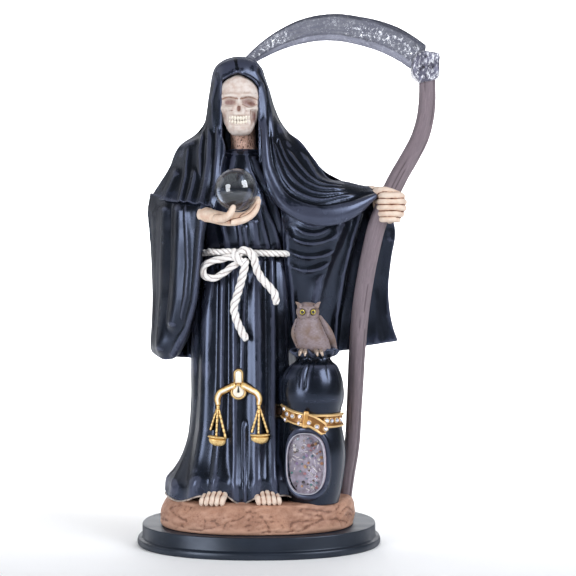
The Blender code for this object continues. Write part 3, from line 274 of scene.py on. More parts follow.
def piece(name, shells, smooth=True):
    """One object from shells in the casting's own units."""
    points, faces, count = [], [], 0
    for shell_points, shell_faces in shells:
        points.append(shell_points)
        faces += [[i + count for i in face] for face in shell_faces]
        count += len(shell_points)
    mesh = bpy.data.meshes.new(name)
    mesh.from_pydata(place(np.concatenate(points)).tolist(), [], faces)
    made = bmesh.new()
    made.from_mesh(mesh)
    bmesh.ops.recalc_face_normals(made, faces=made.faces)
    made.to_mesh(mesh)
    made.free()
    if smooth:
        mesh.shade_smooth()
    thing = bpy.data.objects.new(name, mesh)
    bpy.context.scene.collection.objects.link(thing)
    return thing


def alone(thing):
    """Selects one object and makes it active."""
    bpy.ops.object.select_all(action="DESELECT")
    thing.select_set(True)
    bpy.context.view_layer.objects.active = thing


def apply(thing, kind, **settings):
    """Adds a modifier and applies it."""
    alone(thing)
    modifier = thing.modifiers.new(kind.lower(), kind)
    for name, value in settings.items():
        setattr(modifier, name, value)
    bpy.ops.object.modifier_apply(modifier=modifier.name)


def one_skin(thing, voxel, rounds, most):
    """Makes one smooth skin of shells that pass through each other."""
    apply(thing, "REMESH", mode="VOXEL", voxel_size=voxel * UNIT)
    made = bmesh.new()
    made.from_mesh(thing.data)
    left, groups = set(made.verts), []
    while left:
        group, edge = set(), [left.pop()]
        while edge:
            vertex = edge.pop()
            group.add(vertex)
            near = {e.other_vert(vertex) for e in vertex.link_edges} & left
            left -= near
            edge.extend(near)
        groups.append(group)
    groups.sort(key=len)
    bmesh.ops.delete(made, geom=[v for g in groups[:-1] for v in g], context="VERTS")
    made.to_mesh(thing.data)
    made.free()
    apply(thing, "SMOOTH", factor=0.5, iterations=rounds)
    count = 2 * len(thing.data.polygons)
    if count > most:
        apply(thing, "DECIMATE", ratio=most / count)
    thing.data.shade_smooth()
    return thing


def store_relief(thing, fine=6, broad=50, fine_depth=0.05, broad_depth=0.45):
    """Stores how far each point stands out of its surroundings, for painted highlights on ridges and painted
    shade in dips.

    ridge and edge are 1 on a broad ridge and on a fine edge, hollow and crease 1 in a dip and in a line."""
    mesh = thing.data
    count = len(mesh.vertices)
    points = np.empty(count * 3)
    mesh.vertices.foreach_get("co", points)
    points = points.reshape(-1, 3) / UNIT
    out = np.empty(count * 3)
    mesh.vertex_normals.foreach_get("vector", out)
    out = out.reshape(-1, 3)
    ends = np.empty(len(mesh.edges) * 2, int)
    mesh.edges.foreach_get("vertices", ends)
    a, b = ends[::2], ends[1::2]
    near = np.bincount(a, minlength=count) + np.bincount(b, minlength=count)
    soft = points.copy()
    for turn in range(1, broad + 1):
        for axis in range(3):
            column = soft[:, axis]
            total = np.bincount(a, column[b], count) + np.bincount(b, column[a], count)
            soft[:, axis] = (column + total / near) / 2
        if turn in (fine, broad):
            stands = ((points - soft) * out).sum(axis=1) / (fine_depth if turn == fine else broad_depth)
            high, low = ("edge", "crease") if turn == fine else ("ridge", "hollow")
            for name, value in ((high, stands), (low, -stands)):
                layer = mesh.attributes.new(name, "FLOAT", "POINT")
                layer.data.foreach_set("value", value.clip(0, 1))
    return thing


def dress(thing, material, body="root"):
    """Gives a piece its material and its body."""
    thing.data.materials.clear()
    thing.data.materials.append(material)
    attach(thing, body)
    return thing


# Materials: shader maths written as expressions


def rgb(code):
    """A colour from its hexadecimal screen value, in linear light."""
    parts = [int(code[i:i + 2], 16) / 255 for i in (0, 2, 4)]
    return tuple(((c + 0.055) / 1.055) ** 2.4 if c > 0.04045 else c / 12.92 for c in parts)


class Value:
    """A number that changes over a surface."""

    def __init__(self, paint, socket):
        self.paint, self.socket = paint, socket

    def maths(self, operation, *others):
        return self.paint.node("Math", {"operation": operation}, {0: self, **dict(enumerate(others, 1))})

    def __add__(self, other):
        return self.maths("ADD", other)

    def __sub__(self, other):
        return self.maths("SUBTRACT", other)

    def __rsub__(self, other):
        return self.paint.node("Math", {"operation": "SUBTRACT"}, {0: other, 1: self})

    def __mul__(self, other):
        return self.maths("MULTIPLY", other)

    def __pow__(self, other):
        return self.maths("POWER", other)

    __radd__, __rmul__ = __add__, __mul__

    def over(self, low, high):
        """0 below low, 1 above high, smooth between."""
        return self.paint.node(
            "MapRange", {"interpolation_type": "SMOOTHSTEP"},
            {"Value": self, "From Min": low, "From Max": high}
        )

    def most(self, other):
        return self.maths("MAXIMUM", other)


class Paint:
    """A material being mixed."""

    def __init__(self, name, **constants):
        self.material = bpy.data.materials.new(name)
        self.material.use_nodes = True
        self.tree = self.material.node_tree
        self.shader = self.tree.nodes["Principled BSDF"]
        for key, value in constants.items():
            self.shader.inputs[key.replace("_", " ")].default_value = value

    def node(self, kind, settings=None, inputs=None, output=0):
        """Adds a node by type, with its settings and the values or links of its sockets."""
        node = self.tree.nodes.new("ShaderNode" + kind)
        for key, value in (settings or {}).items():
            setattr(node, key, value)
        for key, value in (inputs or {}).items():
            if isinstance(value, Value):
                self.tree.links.new(value.socket, node.inputs[key])
            else:
                socket = node.inputs[key]
                socket.default_value = (*value, 1) if isinstance(value,
                    tuple) and len(socket.default_value) == 4 else value
        return Value(self, node.outputs[output])

    def grain(self, name):
        return self.node("Attribute", {"attribute_name": name}, output="Fac")

    def spot(self, scale=(1, 1, 1), name=None):
        """Object coordinates, or a stored direction, stretched by scale."""
        if name:
            at = self.node("Attribute", {"attribute_name": name}, output="Vector")
        else:
            at = self.node("TexCoord", output="Object")
        return self.node("Mapping", {}, {"Vector": at, "Scale": scale})

    def noise(self, scale, detail=3.0, stretch=(1, 1, 1), name=None, distortion=0.0, roughness=0.55):
        return self.node(
            "TexNoise", {}, {"Vector": self.spot(stretch, name), "Scale": scale, "Detail": detail,
                             "Roughness": roughness, "Distortion": distortion},
        )

    def cells(self, scale, stretch=(1, 1, 1), feature="F1", output="Distance"):
        return self.node("TexVoronoi", {"feature": feature},
            {"Vector": self.spot(stretch), "Scale": scale}, output)

    def mix(self, factor, a, b):
        """A colour between a and b."""
        return self.node("Mix", {"data_type": "RGBA"}, {0: factor, 6: a, 7: b}, output=2)

    def bump(self, height, distance, strength=1.0):
        return self.node("Bump", {}, {"Height": height, "Distance": distance, "Strength": strength})

    def set(self, **values):
        for key, value in values.items():
            self.tree.links.new(value.socket, self.shader.inputs[key.replace("_", " ")])
        return self


def black_paint(name):
    """Satin black paint over resin, with a painted lavender highlight along the tops of folds and on fine
    edges, and painted shade in the hollows.
    """
    p = Paint(name, Specular_IOR_Level=0.70, Specular_Tint=(0.60, 0.70, 1.0, 1))
    ridge, hollow, edge = (p.grain(n) for n in ("ridge", "hollow", "edge"))
    cloud = p.noise(38, 3).over(0.38, 0.66)
    streak = p.noise(150, 4, (1, 1, 0.16))
    slate = p.mix(cloud, rgb("090c11"), rgb("0e131a"))
    # Painted highlights: lavender along the tops of folds and a pale line on fine edges; then painted shade,
    # near black, in the hollows.
    colour = p.mix(ridge.over(0.3, 1.0) * (0.08 + 0.10 * streak), slate, rgb("434b68"))
    colour = p.mix(edge.over(0.5, 1.0) * 0.12, colour, rgb("8f93ad"))
    colour = p.mix(hollow.over(0.15, 0.85) * 0.7, colour, rgb("040506"))
    facing = p.node("LayerWeight", {}, {"Blend": 0.5}, "Facing")
    p.set(Base_Color=colour, Roughness=0.19 + 0.08 * streak + 0.05 * cloud + 0.5 * facing.over(0.60, 0.95))
    p.set(Normal=p.bump(p.noise(900, 3), 0.00004, 0.4))
    return p.material


def bone_paint(name, light, mid, dark, shade=1.0, face_shade=False):
    """Bone-coloured paint with painted brown shade in the hollows and creases, and a painted highlight on
    ridges.
    """
    p = Paint(name, Specular_IOR_Level=0.35)
    ridge, hollow, crease = (p.grain(n) for n in ("ridge", "hollow", "crease"))
    cloud = p.noise(260, 4).over(0.35, 0.7)
    colour = p.mix(cloud * 0.6, rgb(light), rgb(mid))
    # Painted shade: brown in the hollows and darker in the creases; then a painted highlight, paler, on the
    # ridges.
    colour = p.mix(hollow.over(0.1, 0.9) * (0.75 * shade), colour, rgb(mid))
    colour = p.mix(crease.over(0.25, 1.0) * (0.9 * shade), colour, rgb(dark))
    colour = p.mix(ridge.over(0.3, 1.0) * 0.35, colour, rgb("e6ddd2"))
    if face_shade:
        # Painted shade in the eye sockets, the nose and the cheeks' hollows, mauve-brown and darkest deep
        # inside; then painted brown lines, whose broad strokes are painted shade.
        painted_shade = p.grain("painted_shade")
        blotch = p.noise(330, 4).over(0.3, 0.7)
        colour = p.mix(painted_shade.over(0.15, 0.70) * 0.62, colour, p.mix(blotch, rgb("a4898a"), rgb("8a6a60")))
        colour = p.mix(painted_shade.over(0.74, 0.98) * 0.75, colour, rgb("5a3526"))
        patchy = p.noise(420, 3).over(0.30, 0.55) * 0.5 + 0.5
        colour = p.mix(p.grain("line").over(0.25, 0.95) * 0.8 * patchy, colour, rgb("7c4c30"))
    p.set(Base_Color=colour, Roughness=0.55 + 0.15 * cloud)
    p.set(Normal=p.bump(p.noise(1500, 4), 0.00008, 0.5))
    return p.material


def gold_paint(name, light="f4d594", mid="bd8436", dark="5f3716"):
    """Gold paint, with a painted highlight on ridges and edges and painted brown shade in dips."""
    p = Paint(name, Metallic=0.45, Specular_IOR_Level=0.5)
    ridge, hollow, edge, crease = (p.grain(n) for n in ("ridge", "hollow", "edge", "crease"))
    cloud = p.noise(420, 3).over(0.35, 0.7)
    colour = p.mix(cloud * 0.5, rgb(mid), rgb("d8a65c"))
    # Painted highlight on ridges and edges, then painted shade in hollows and creases.
    colour = p.mix((ridge.over(0.2, 1.0) * 0.6).most(edge.over(0.2, 0.9) * 0.8), colour, rgb(light))
    colour = p.mix((hollow.over(0.2, 1.0) * 0.6).most(crease.over(0.2, 0.9) * 0.85), colour, rgb(dark))
    p.set(Base_Color=colour, Roughness=0.30 + 0.15 * cloud)
    p.set(Normal=p.bump(p.noise(1400, 3), 0.00008, 0.5))
    return p.material


# The cloak's outline as seen from the front: (level, left edge, right edge), and its back

OUTLINE = np.array([
    (116, -78, 100), (131, -79.5, 102), (147, -79, 97), (169, -78.2, 94.8), (190, -79.5, 97), (213, -81, 100),
    (226, -82, 98), (236, -79.5, 88), (243, -75, 78), (249, -71, 56), (258, -66, 45), (275, -58, 32),
    (287, -41.5, 19.2),
    (298, -38.8, 13.1), (309, -37.4, 9.4), (316, -36.2, 7.2), (323, -35.1, 5.0), (331, -32.9, 2.1),
    (337, -26.6, -2.5),
])
SPINE_X = -13.0
BACK_TOP = 318
BACK_HEM = [(0, 124), (0.07, 119), (0.25, 116), (0.45, 116), (0.60, 120), (0.80, 126), (1, 131)]


def smooth_at(level, levels, values):
    """A value read from a table by level, without corners at the table's own levels."""
    return np.mean([np.interp(level + step, levels, values) for step in np.linspace(-8, 8, 9)], axis=0)


def edge_at(level, side):
    """Where the cloak's left (0) or right (1) edge is at a level."""
    return smooth_at(level, OUTLINE[:, 0], OUTLINE[:, side + 1])


def back_at(x, level):
    """How far back the cloak's back lies behind a point seen from the front."""
    left, right = edge_at(level, 0) - 0.5, edge_at(level, 1) + 0.5
    t = np.where(x < SPINE_X, (SPINE_X - x) / (SPINE_X - left), (x - SPINE_X) / (right - SPINE_X))
    t = np.clip(t, 0, 1)
    rim = smooth_at(level, [120, 200, 240, 262, 290], [7, 8, 3, 3, 9])
    deepest = smooth_at(level, [116, 150, 200, 262, 290, 320, 337], [43, 43, 41, 38, 35, 33, 24])
    wide = smooth_at(level, [240, 290], [1.0, 0.0])
    shape = (1 - t ** (2 - 0.55 * wide)) ** (0.5 + 0.28 * wide)
    hanging = smooth_at(level, [150, 262, 300], [1.0, 0.45, 0.0])
    ripple = 1.7 * np.cos(x * 0.33 + 0.4 * np.sin(level * 0.02)) + 0.9 * np.cos(x * 0.71 + level * 0.004)
    return rim + (deepest - rim) * shape + ripple * hanging * (1 - t**3)


def backed(front, inset=0.0, least=1.5):
    """A shell from a front grid straight back to the cloak's back."""
    back = front.copy()
    back[..., 1] = np.maximum(back_at(front[..., 0], front[..., 2]) - inset, front[..., 1] + least)
    return between(front, back)


def cloak_back(across, down):
    """The cloak's whole back, from one edge to the other and from the head to its hem."""
    u, v = unit_grid(down, across)
    hem = np.interp(u, *zip(*BACK_HEM, strict=True))
    level = hem + (BACK_TOP - hem) * (1 - v)
    x = edge_at(level, 0) * (1 - u) + edge_at(level, 1) * u
    back = np.stack([x, back_at(x, level) - 4.0 * ease((level - 290) / 28), level], axis=2)
    front = back - np.stack([0 * u, 1.6 + 8 * np.sqrt(np.sin(np.pi * u.clip(0.001, 0.999))), 0 * u], axis=2)
    return between(front, back)


# The sleeve of the raised arm, and the cloak over the shoulder above it

SLEEVE = [
    [(-79.5, 0, 240), (-71, -14, 238), (-57, -26, 236), (-44, -36, 233), (-34, -42, 230)],
    [(-82.1, 6, 228), (-71.5, -15, 228), (-57, -31, 227), (-45, -41, 226), (-35.0, -45, 224)],
    [(-80.8, 8, 211), (-71.3, -13, 211), (-59, -29, 211), (-48, -39, 210.5), (-38.0, -43, 210)],
    [(-79.3, 8, 187), (-69.9, -13, 187), (-58.6, -28, 187), (-48.7, -36, 187), (-40.2, -40, 187)],
    [(-78.2, 8, 161.5), (-69.1, -12, 162), (-60.2, -25, 162), (-51, -33, 162), (-43.6, -35, 162)],
    [(-78.8, 6, 143), (-71.3, -12, 143.5), (-62.5, -23, 144), (-54.2, -28, 144), (-48.8, -29, 144)],
    [(-79.7, 4, 128.5), (-73.7, -11, 127.5), (-66.4, -19, 127), (-59.7, -22, 128.5), (-55.2, -21, 131)],
    [(-78.2, 0, 123.5), (-73, -9, 120.5), (-67.4, -15, 118.8), (-63, -16, 119.8), (-60.5, -16, 122.8)],
]
SLEEVE_RIDGES = [
    (4.4, 2.6, 2.0, [(128, -71), (160, -69.0), (200, -67.0), (226, -66)]),
    (4.4, 3.2, 2.0, [(146, -60.5), (162, -58.5), (187, -56.4), (226, -55.5)]),
    (2.0, 1.5, 1.8, [(152, -54.5), (166, -51.0), (187, -49.2), (206, -49.8), (226, -51)]),
    (3.0, 2.4, 2.4, [(124, -61), (134, -55.4), (144, -50.0), (162, -44.6), (187, -41.4), (211, -39.2),
        (226, -38)]),
    (2.0, 1.0, 2.0, [(128, -77.5), (180, -77), (222, -77)]),
]
SHOULDER = [
    [(-37.1, 9, 309), (-35.4, -3, 308), (-32.5, -12, 307), (-29.2, -17, 306)],
    [(-41.4, 7, 287.5), (-37.5, -7, 286), (-33, -15, 285.5), (-27.7, -19, 285)],
    [(-58, 3, 275.2), (-48.4, -9, 275.5), (-36.3, -18, 274.5), (-29.7, -21, 273), (-24, -22, 272)],
    [(-65.8, 0, 258), (-53.9, -14, 258.5), (-41.1, -23, 258), (-32.3, -27, 258), (-25.8, -28, 258)],
    [(-72.9, -2, 246.3), (-58.5, -20, 244.7), (-44.3, -30, 243.5), (-34.8, -34, 242.5), (-27.6, -35, 242)],
    [(-79.9, 0, 236), (-63.1, -26, 232.6), (-48, -38, 230.7), (-37, -45, 228.6), (-30.4, -47, 226.6)],
]
SHOULDER_RIDGES = [
    (1.6, 1.7, 1.9, [(284, -40.0), (270, -41.6), (254, -41.0)]),
    (2.6, 2.3, 2.1, [(300, -33.4), (283, -34.6), (262, -35.0), (246, -36.6), (226, -40.0)]),
    (1.3, 2.0, 1.8, [(266, -50.8), (250, -51.6), (233, -54.6)]),
    (2.2, 1.9, 2.0, [(250, -44.8), (242, -46.2), (230, -49.0)]),
    (3.2, 1.3, 2.0, [(252, -60), (242, -64), (231, -69)]),
    (1.5, 1.8, 1.9, [(286, -28.8), (266, -29.4), (246, -30.6), (226, -33.6)]),
]

# The cloak's swag to the lowered arm, and the robe's wide sleeve under it

SWAG = [
    [(7.2, 9, 320), (12.4, 8, 301.5), (19.7, 5, 286.6), (30, 0, 278), (41, -5, 263.5), (52.5, -8, 249.2),
        (62.4, -10, 248),
     (73.2, -11, 245.4), (87, -11, 243.2)],
    [(6.8, 1, 312), (10, -6, 289.2), (16.3, -13, 272), (28, -19, 256), (43, -22, 244), (62.1, -20, 241.8),
        (86, -15, 241.3)],
    [(4.6, -8, 307.2), (7.6, -16, 281), (13.4, -24, 259), (26.3, -30, 241), (44, -31, 234),
        (62.6, -26, 235.8), (85, -19, 239.7)],
    [(2.6, -14, 306.5), (4.9, -21, 277), (9.2, -29, 251.5), (20.6, -34, 232.8), (42.4, -36, 225),
        (62.4, -31, 228), (84, -21, 237.2)],
    [(0.4, -18, 306), (2.0, -24, 275.2), (4.2, -31, 249), (12.8, -35, 230.3), (29.7, -37, 218.4),
        (45.2, -36, 214.8),
     (61.6, -32, 217.8), (74.8, -26, 226), (82.9, -21, 234.8)],
]
SWAG_RIDGES = [
    # width and height, then (share along the swag, share from its top edge to its lower one)
    (0.050, 1.3, 2.0, [(0.52, 0.14), (0.62, 0.20), (0.72, 0.19)]),
    (0.036, 1.7, 1.9, [(0.44, 0.30), (0.58, 0.33), (0.72, 0.30)]),
    (0.036, 2.1, 1.9, [(0.26, 0.36), (0.42, 0.43), (0.58, 0.45), (0.74, 0.41)]),
    (0.030, 2.0, 1.9, [(0.34, 0.52), (0.48, 0.55), (0.62, 0.565), (0.76, 0.53)]),
    (0.026, 2.5, 1.8, [(0.02, 0.49), (0.20, 0.60), (0.45, 0.665), (0.66, 0.67), (0.80, 0.63)]),
    (0.080, 0.9, 2.4, [(0.05, 0.24), (0.18, 0.27), (0.34, 0.20)]),
    (0.120, 3.0, 2.8, [(0.03, 0.86), (0.50, 0.87), (0.97, 0.88)]),
]
ARM_DRAPE = [
    [(14, -16, 240), (36.9, -22, 236), (55, -20, 238), (71, -15, 240), (84.5, -9, 241.5)],
    [(17, -22, 214), (36.9, -26, 213.6), (54.8, -21, 213.7), (71, -11, 214.5), (86.7, -3, 215),
        (99.7, 4, 215)],
    [(18.5, -19, 191), (36.9, -22, 191), (55, -16, 191), (69.7, -9, 191), (84.7, -1, 191), (96.8, 5, 191)],
    [(20.5, -15, 169), (37, -19, 169), (52.9, -14, 169), (67.6, -7, 169), (82.5, 0, 169), (94.6, 5, 169)],
    [(21.9, -12, 148), (37, -14, 148), (51.5, -11, 148), (66.2, -6, 147.3), (82.6, 1, 147), (96.8, 5, 147)],
    [(24, -9, 126), (38.5, -11, 124), (56, -9, 124.5), (78.1, -1, 128), (102.1, 6, 131.3)],
]
ARM_DRAPE_RIDGES = [
    (2.2, 2.6, 1.8, [(224, 72.5), (205, 66.5), (180, 60.5), (150, 56), (126, 54.5)]),
    (4.0, 2.2, 2.0, [(214, 80), (190, 74), (150, 67), (126, 64.5)]),
    (4.8, 2.6, 2.0, [(216, 58), (196, 51), (176, 44), (150, 38)]),
    (2.4, 1.8, 2.0, [(206, 21.0), (186, 22.5), (170, 24.5), (140, 26)]),
    (4.0, 1.2, 2.0, [(205, 95), (180, 92.5), (150, 94.5), (130, 98)]),
    (4.0, 1.2, 2.0, [(200, 86), (170, 83), (130, 86)]),
]
CRESCENTS = [
    # level of the lowest point, height, middle, half-width, sag
    (215.0, 1.0, 40, 12, 0.030), (209.0, 1.3, 39, 12, 0.030), (202.5, 1.7, 38, 14, 0.021),
    (192.6, 1.9, 37, 14, 0.020),
    (183.0, 1.3, 35, 13, 0.026),
]


def arm_drape(across, down):
    """The robe's hanging sleeve, with crescent folds under the arm."""
    grid = loft(ARM_DRAPE, across, down)
    x, z = grid[..., 0], grid[..., 2]
    height = ridges(x, z, ARM_DRAPE_RIDGES, 10)
    for level, high, middle, half, sag in CRESCENTS:
        off = (z - level - sag * (x - middle) ** 2) / 1.7
        height += high * np.exp(-np.abs(off) ** 1.6) * np.exp(-(((x - middle) / half) ** 4))
    return grid + normals(grid) * height[..., None]


def swag(across, down):
    """The cloak's swag, in U-shaped folds over a smooth lower band."""
    grid = loft(SWAG, across, down)
    u, v = unit_grid(down, across)
    height = ridges(v, u, SWAG_RIDGES, 0.10)
    height -= 1.2 * np.exp(-(((v - 0.735) / 0.020) ** 2)) * fade(u, 0.08, 0.85, 0.08)
    grid = grid + normals(grid) * height[..., None]
    grid[..., 1] += 7.0 * ease((grid[..., 2] - 272) / 38)
    return grid


def hanging(rows, table, across, down, soft=8):
    """A cloth through rows, with ridges placed by their level and how far across they are."""
    grid = loft(rows, across, down)
    height = ridges(grid[..., 0], grid[..., 2], table, soft)
    grid = grid + normals(grid) * height[..., None]
    grid[..., 1] += 6.0 * ease((grid[..., 2] - 262) / 44)
    return grid


# The hood

HOOD = [
    (250, -56, 38, -14, 38.6), (262, -52, 34, -18, 38), (275, -46, 24, -20, 36.6),
    (286.6, -41.4, 19, -20.5, 35.4),
    (298, -38.8, 13.1, -19.5, 34.6), (309, -37.4, 9.4, -19, 34), (316, -36.2, 7.2, -18.8, 33),
    (323.4, -35.1, 5, -18, 31.5),
    (331, -32.9, 2.1, -15.5, 28), (336.7, -26.7, -2.4, -9, 22), (339.2, -20, -8.5, -2, 16),
]
OPENING = np.array([
    # level, left edge, right edge
    (240, -26, -0.5), (262, -26, -0.3), (277, -27.8, 0.6), (295, -30.2, 1.5), (306, -30.4, 1.6),
    (314.5, -29.4, 0.0),
    (320.0, -25.6, -4.0), (323.4, -19.8, -10.0), (324.6, -15.6, -14.0),
])
OPENING_DEPTH = 5.0
HOOD_RIDGES = [
    (1.5, 0.8, 2.0, [(262, -31), (290, -33.0), (306, -33.4), (318, -31.0)]),
    (1.7, 1.1, 1.9, [(258, 5.4), (285, 5.0), (306, 4.6), (318, 2.2), (326, -2.6)]),
    (1.6, 1.0, 1.9, [(258, 12.6), (280, 10.0), (300, 8.0), (316, 5.6), (326, 1.6)]),
]


def hood(around, down):
    """The hood round the head, with a rolled rim and a deep recess for the skull."""
    rings = rings_of(HOOD, around, down, 2.15)
    x, z = rings[..., 0], rings[..., 2]
    middle = rings.mean(axis=1, keepdims=True)
    front = rings[..., 1] < middle[..., 1] - 2
    rings[..., 1] -= 2.5 * ease((300 - z) / 26) * (rings[..., 1] > middle[..., 1])
    left = np.interp(z, OPENING[:, 0], OPENING[:, 1])
    right = np.interp(z, OPENING[:, 0], OPENING[:, 2])
    top = np.interp(x, np.r_[OPENING[:, 1][::1], OPENING[::-1, 2]][1:-1],
        np.r_[OPENING[:, 0], OPENING[::-1, 0]][1:-1])
    inside = np.minimum(np.minimum(x - left, right - x), np.where((x > -29) & (x < 1.2), (top - z) * 0.8, -9))
    outward = rings - middle
    outward /= np.linalg.norm(outward, axis=2, keepdims=True)
    height = ridges(x, z, HOOD_RIDGES, 8) * front
    height += 1.1 * np.exp(-(((inside + 1.3) / 1.1) ** 2)) * front
    height -= 1.1 * np.exp(-(((x + 15.0 + 0.22 * (z - 327)) / 0.9) ** 2)) * fade(z, 326, 337, 3) * front
    rings += outward * height[..., None]
    recess = ease((inside + 0.3) / 0.8) * front
    rings[..., 1] += (OPENING_DEPTH - rings[..., 1]) * recess
    return stacked(rings)


# The robe

ROBE = [
    # level, left, right, front, back
    (21, -68, 46, -47, 42), (30.8, -66.8, 45, -47.5, 41), (38, -60.8, 42, -45.5, 39),
    (45, -56.4, 39, -43.5, 37),
    (60, -50.9, 35, -40, 33), (74, -48.7, 32, -38, 31), (89, -47.7, 30, -36.5, 30), (118, -48, 27, -33.5, 29),
    (150, -46.5, 24, -30.5, 28), (178, -42.5, 22, -27, 27), (192, -39.5, 20.5, -24.5, 26),
    (197, -39, 20.5, -24, 26),
    (204, -40, 21.5, -25.5, 26), (220, -41, 23, -27, 27), (240, -40, 22, -25, 28), (256, -36, 14, -22, 28),
    (266, -30, 6, -17.5, 26), (271, -24, 1, -13, 22),
]
SKIRT_RIDGES = [
    # width, height, sharpness, (level, x)
    (5.0, 3.2, 2.2, [(190, -33), (160, -35.5), (110, -36.5), (70, -38), (44, -42), (10, -46)]),
    (3.0, 2.2, 2.0, [(190, -24.5), (150, -25), (100, -25.4), (60, -27.5), (10, -31.5)]),
    (3.4, 2.6, 2.0, [(190, -16.5), (150, -16.5), (112, -16.2), (60, -15.8), (8, -15.4)]),
    (1.6, 1.9, 2.0, [(184, -9.4), (150, -10.4), (112, -11.4)]),
    (1.5, 2.4, 2.0, [(72, -9.4), (50, -9.2), (8, -8.2)]),
    (4.6, 3.3, 2.2, [(190, -1.6), (150, -1.4), (110, -0.8), (70, -1.0), (8, -2.0)]),
    (2.8, 2.3, 2.0, [(192, 8.6), (172, 9.0), (140, 9.6), (90, 9.8), (40, 10.5), (10, 11.6)]),
    (3.2, 2.2, 2.0, [(188, 16), (160, 17.5), (120, 19), (60, 22), (10, 26)]),
    (4.0, 2.0, 2.2, [(190, -42), (150, -44.5), (90, -46.5), (50, -54), (10, -64)]),
]
BLOUSE_RIDGES = [
    (2.2, 1.5, 2.0, [(268, -9), (256, -6.5), (248, -3), (240, 1)]),
    (2.2, 1.7, 2.0, [(238, 1.5), (226, 5), (214, 10.5), (200, 14.5)]),
    (2.4, 1.8, 2.0, [(264, -4), (248, 3), (230, 11), (200, 19)]),
    (2.0, 1.6, 2.0, [(228, 0), (214, 3.0), (200, 6.5)]),
    (1.8, 1.8, 2.0, [(216, -13.5), (208, -12.5), (200, -12)]),
    (1.5, 1.7, 2.0, [(214, -9.4), (207, -8.7), (200, -8.2)]),
    (2.4, 1.4, 2.0, [(268, -17), (256, -19), (242, -20)]),
    (2.6, 1.5, 2.0, [(216, -25), (208, -23), (200, -22)]),
    (3.0, 2.0, 2.0, [(218, -3), (200, -1)]),
]
GIRDLE_LEVEL = 196.0


def hem_lift(x):
    """How far the hem rises over each foot."""
    return 5.6 * np.exp(-np.abs((x + 31.5) / 13.0) ** 2.4) + 5.4 * np.exp(-np.abs((x - 10.0) / 13.5) ** 2.4)


def robe(around, down):
    """The robe from hem to neck, with folds that spread from the girdle."""
    rings = rings_of(ROBE, around, down, 2.3)
    middle = rings.mean(axis=1, keepdims=True)
    x, z = rings[..., 0], rings[..., 2]
    front = ease((middle[..., 1] - rings[..., 1]) / 6)
    outward = rings - middle
    outward /= np.linalg.norm(outward, axis=2, keepdims=True)
    height = front * (ridges(x, z, SKIRT_RIDGES, 8) + ridges(x, z, BLOUSE_RIDGES, 3))
    angle = np.arctan2(outward[..., 1], outward[..., 0])
    behind = (2.0 * np.cos(angle * 15) + 1.0 * np.cos(angle * 8 + 1)) * fade(z, 20, 150, 30)
    height += (1 - front) * behind
    height -= 1.6 * np.exp(-(((z - GIRDLE_LEVEL) / 3.2) ** 2))
    neckline = 266.6 + 0.010 * (x + 11) ** 2
    height += 0.45 * np.exp(-(((z - neckline) / 0.6) ** 2)) * front
    rings += outward * height[..., None]
    low = ease((56 - z) / 30) * (rings[..., 1] < 0)
    rings[..., 2] += (hem_lift(x) + 1.2 * np.cos(x * 0.28)) * low
    return stacked(rings)


# The sack

SACK_MIDDLE = (39.2, -31.0)
SACK = [
    # level, half-width, sideways
    (19, 18.0, 0), (26, 20.2, -0.6), (38, 22.2, -0.6), (52, 22.7, 0.3), (64, 21.8, 0.2), (73, 20.4, -0.2),
    (79, 19.6, -0.9),
    (85, 20.6, -0.7), (93, 22.4, -0.6), (102, 22.2, -0.8), (110, 20.2, -0.6), (116, 16.6, 0.2),
    (119.6, 12.4, 0.6),
    (121.4, 11.4, 0.6), (124.0, 13.8, 0.6), (126.4, 15.4, 0.6), (126.8, 9.0, 0.6),
]
SACK_DEPTH = 0.96
BELT_LEVEL = 78.0
BELT_RISE = 6.0
WINDOW_TURN = math.radians(-106)
WINDOW_LEVEL = 48.6
WINDOW_LIP = 0.9


def sack_radius(level):
    """The sack's half-width and sideways shift at a level."""
    return np.array([np.interp(level, [row[0] for row in SACK], [row[i] for row in SACK]) for i in (1, 2)])


def window_frame():
    """The middle of the sack's window on its skin, and its directions: across and out."""
    half, shift = sack_radius(WINDOW_LEVEL)
    out = np.array((math.cos(WINDOW_TURN), math.sin(WINDOW_TURN), 0.0))
    middle = np.array((SACK_MIDDLE[0] + shift, SACK_MIDDLE[1], WINDOW_LEVEL)) + out * half * SACK_DEPTH
    return middle, np.array((-out[1], out[0], 0.0)), out


def window_ring(spread, depth, share=1.0, count=72):
    """A ring of the window's outline, spread outside its size, at a depth out of the skin."""
    middle, across, out = window_frame()
    t = np.linspace(0, 2 * math.pi, count, endpoint=False)
    power = 2 / 2.7
    c = np.sign(np.cos(t)) * np.abs(np.cos(t)) ** power
    s = np.sign(np.sin(t)) * np.abs(np.sin(t)) ** power
    wide, high = own(WINDOW_WIDTH) / 2 + spread, own(WINDOW_HEIGHT) / 2 + spread
    return middle + out * depth + np.outer(c * wide * share, across) + np.outer(s * high * share, (0, 0, 1))


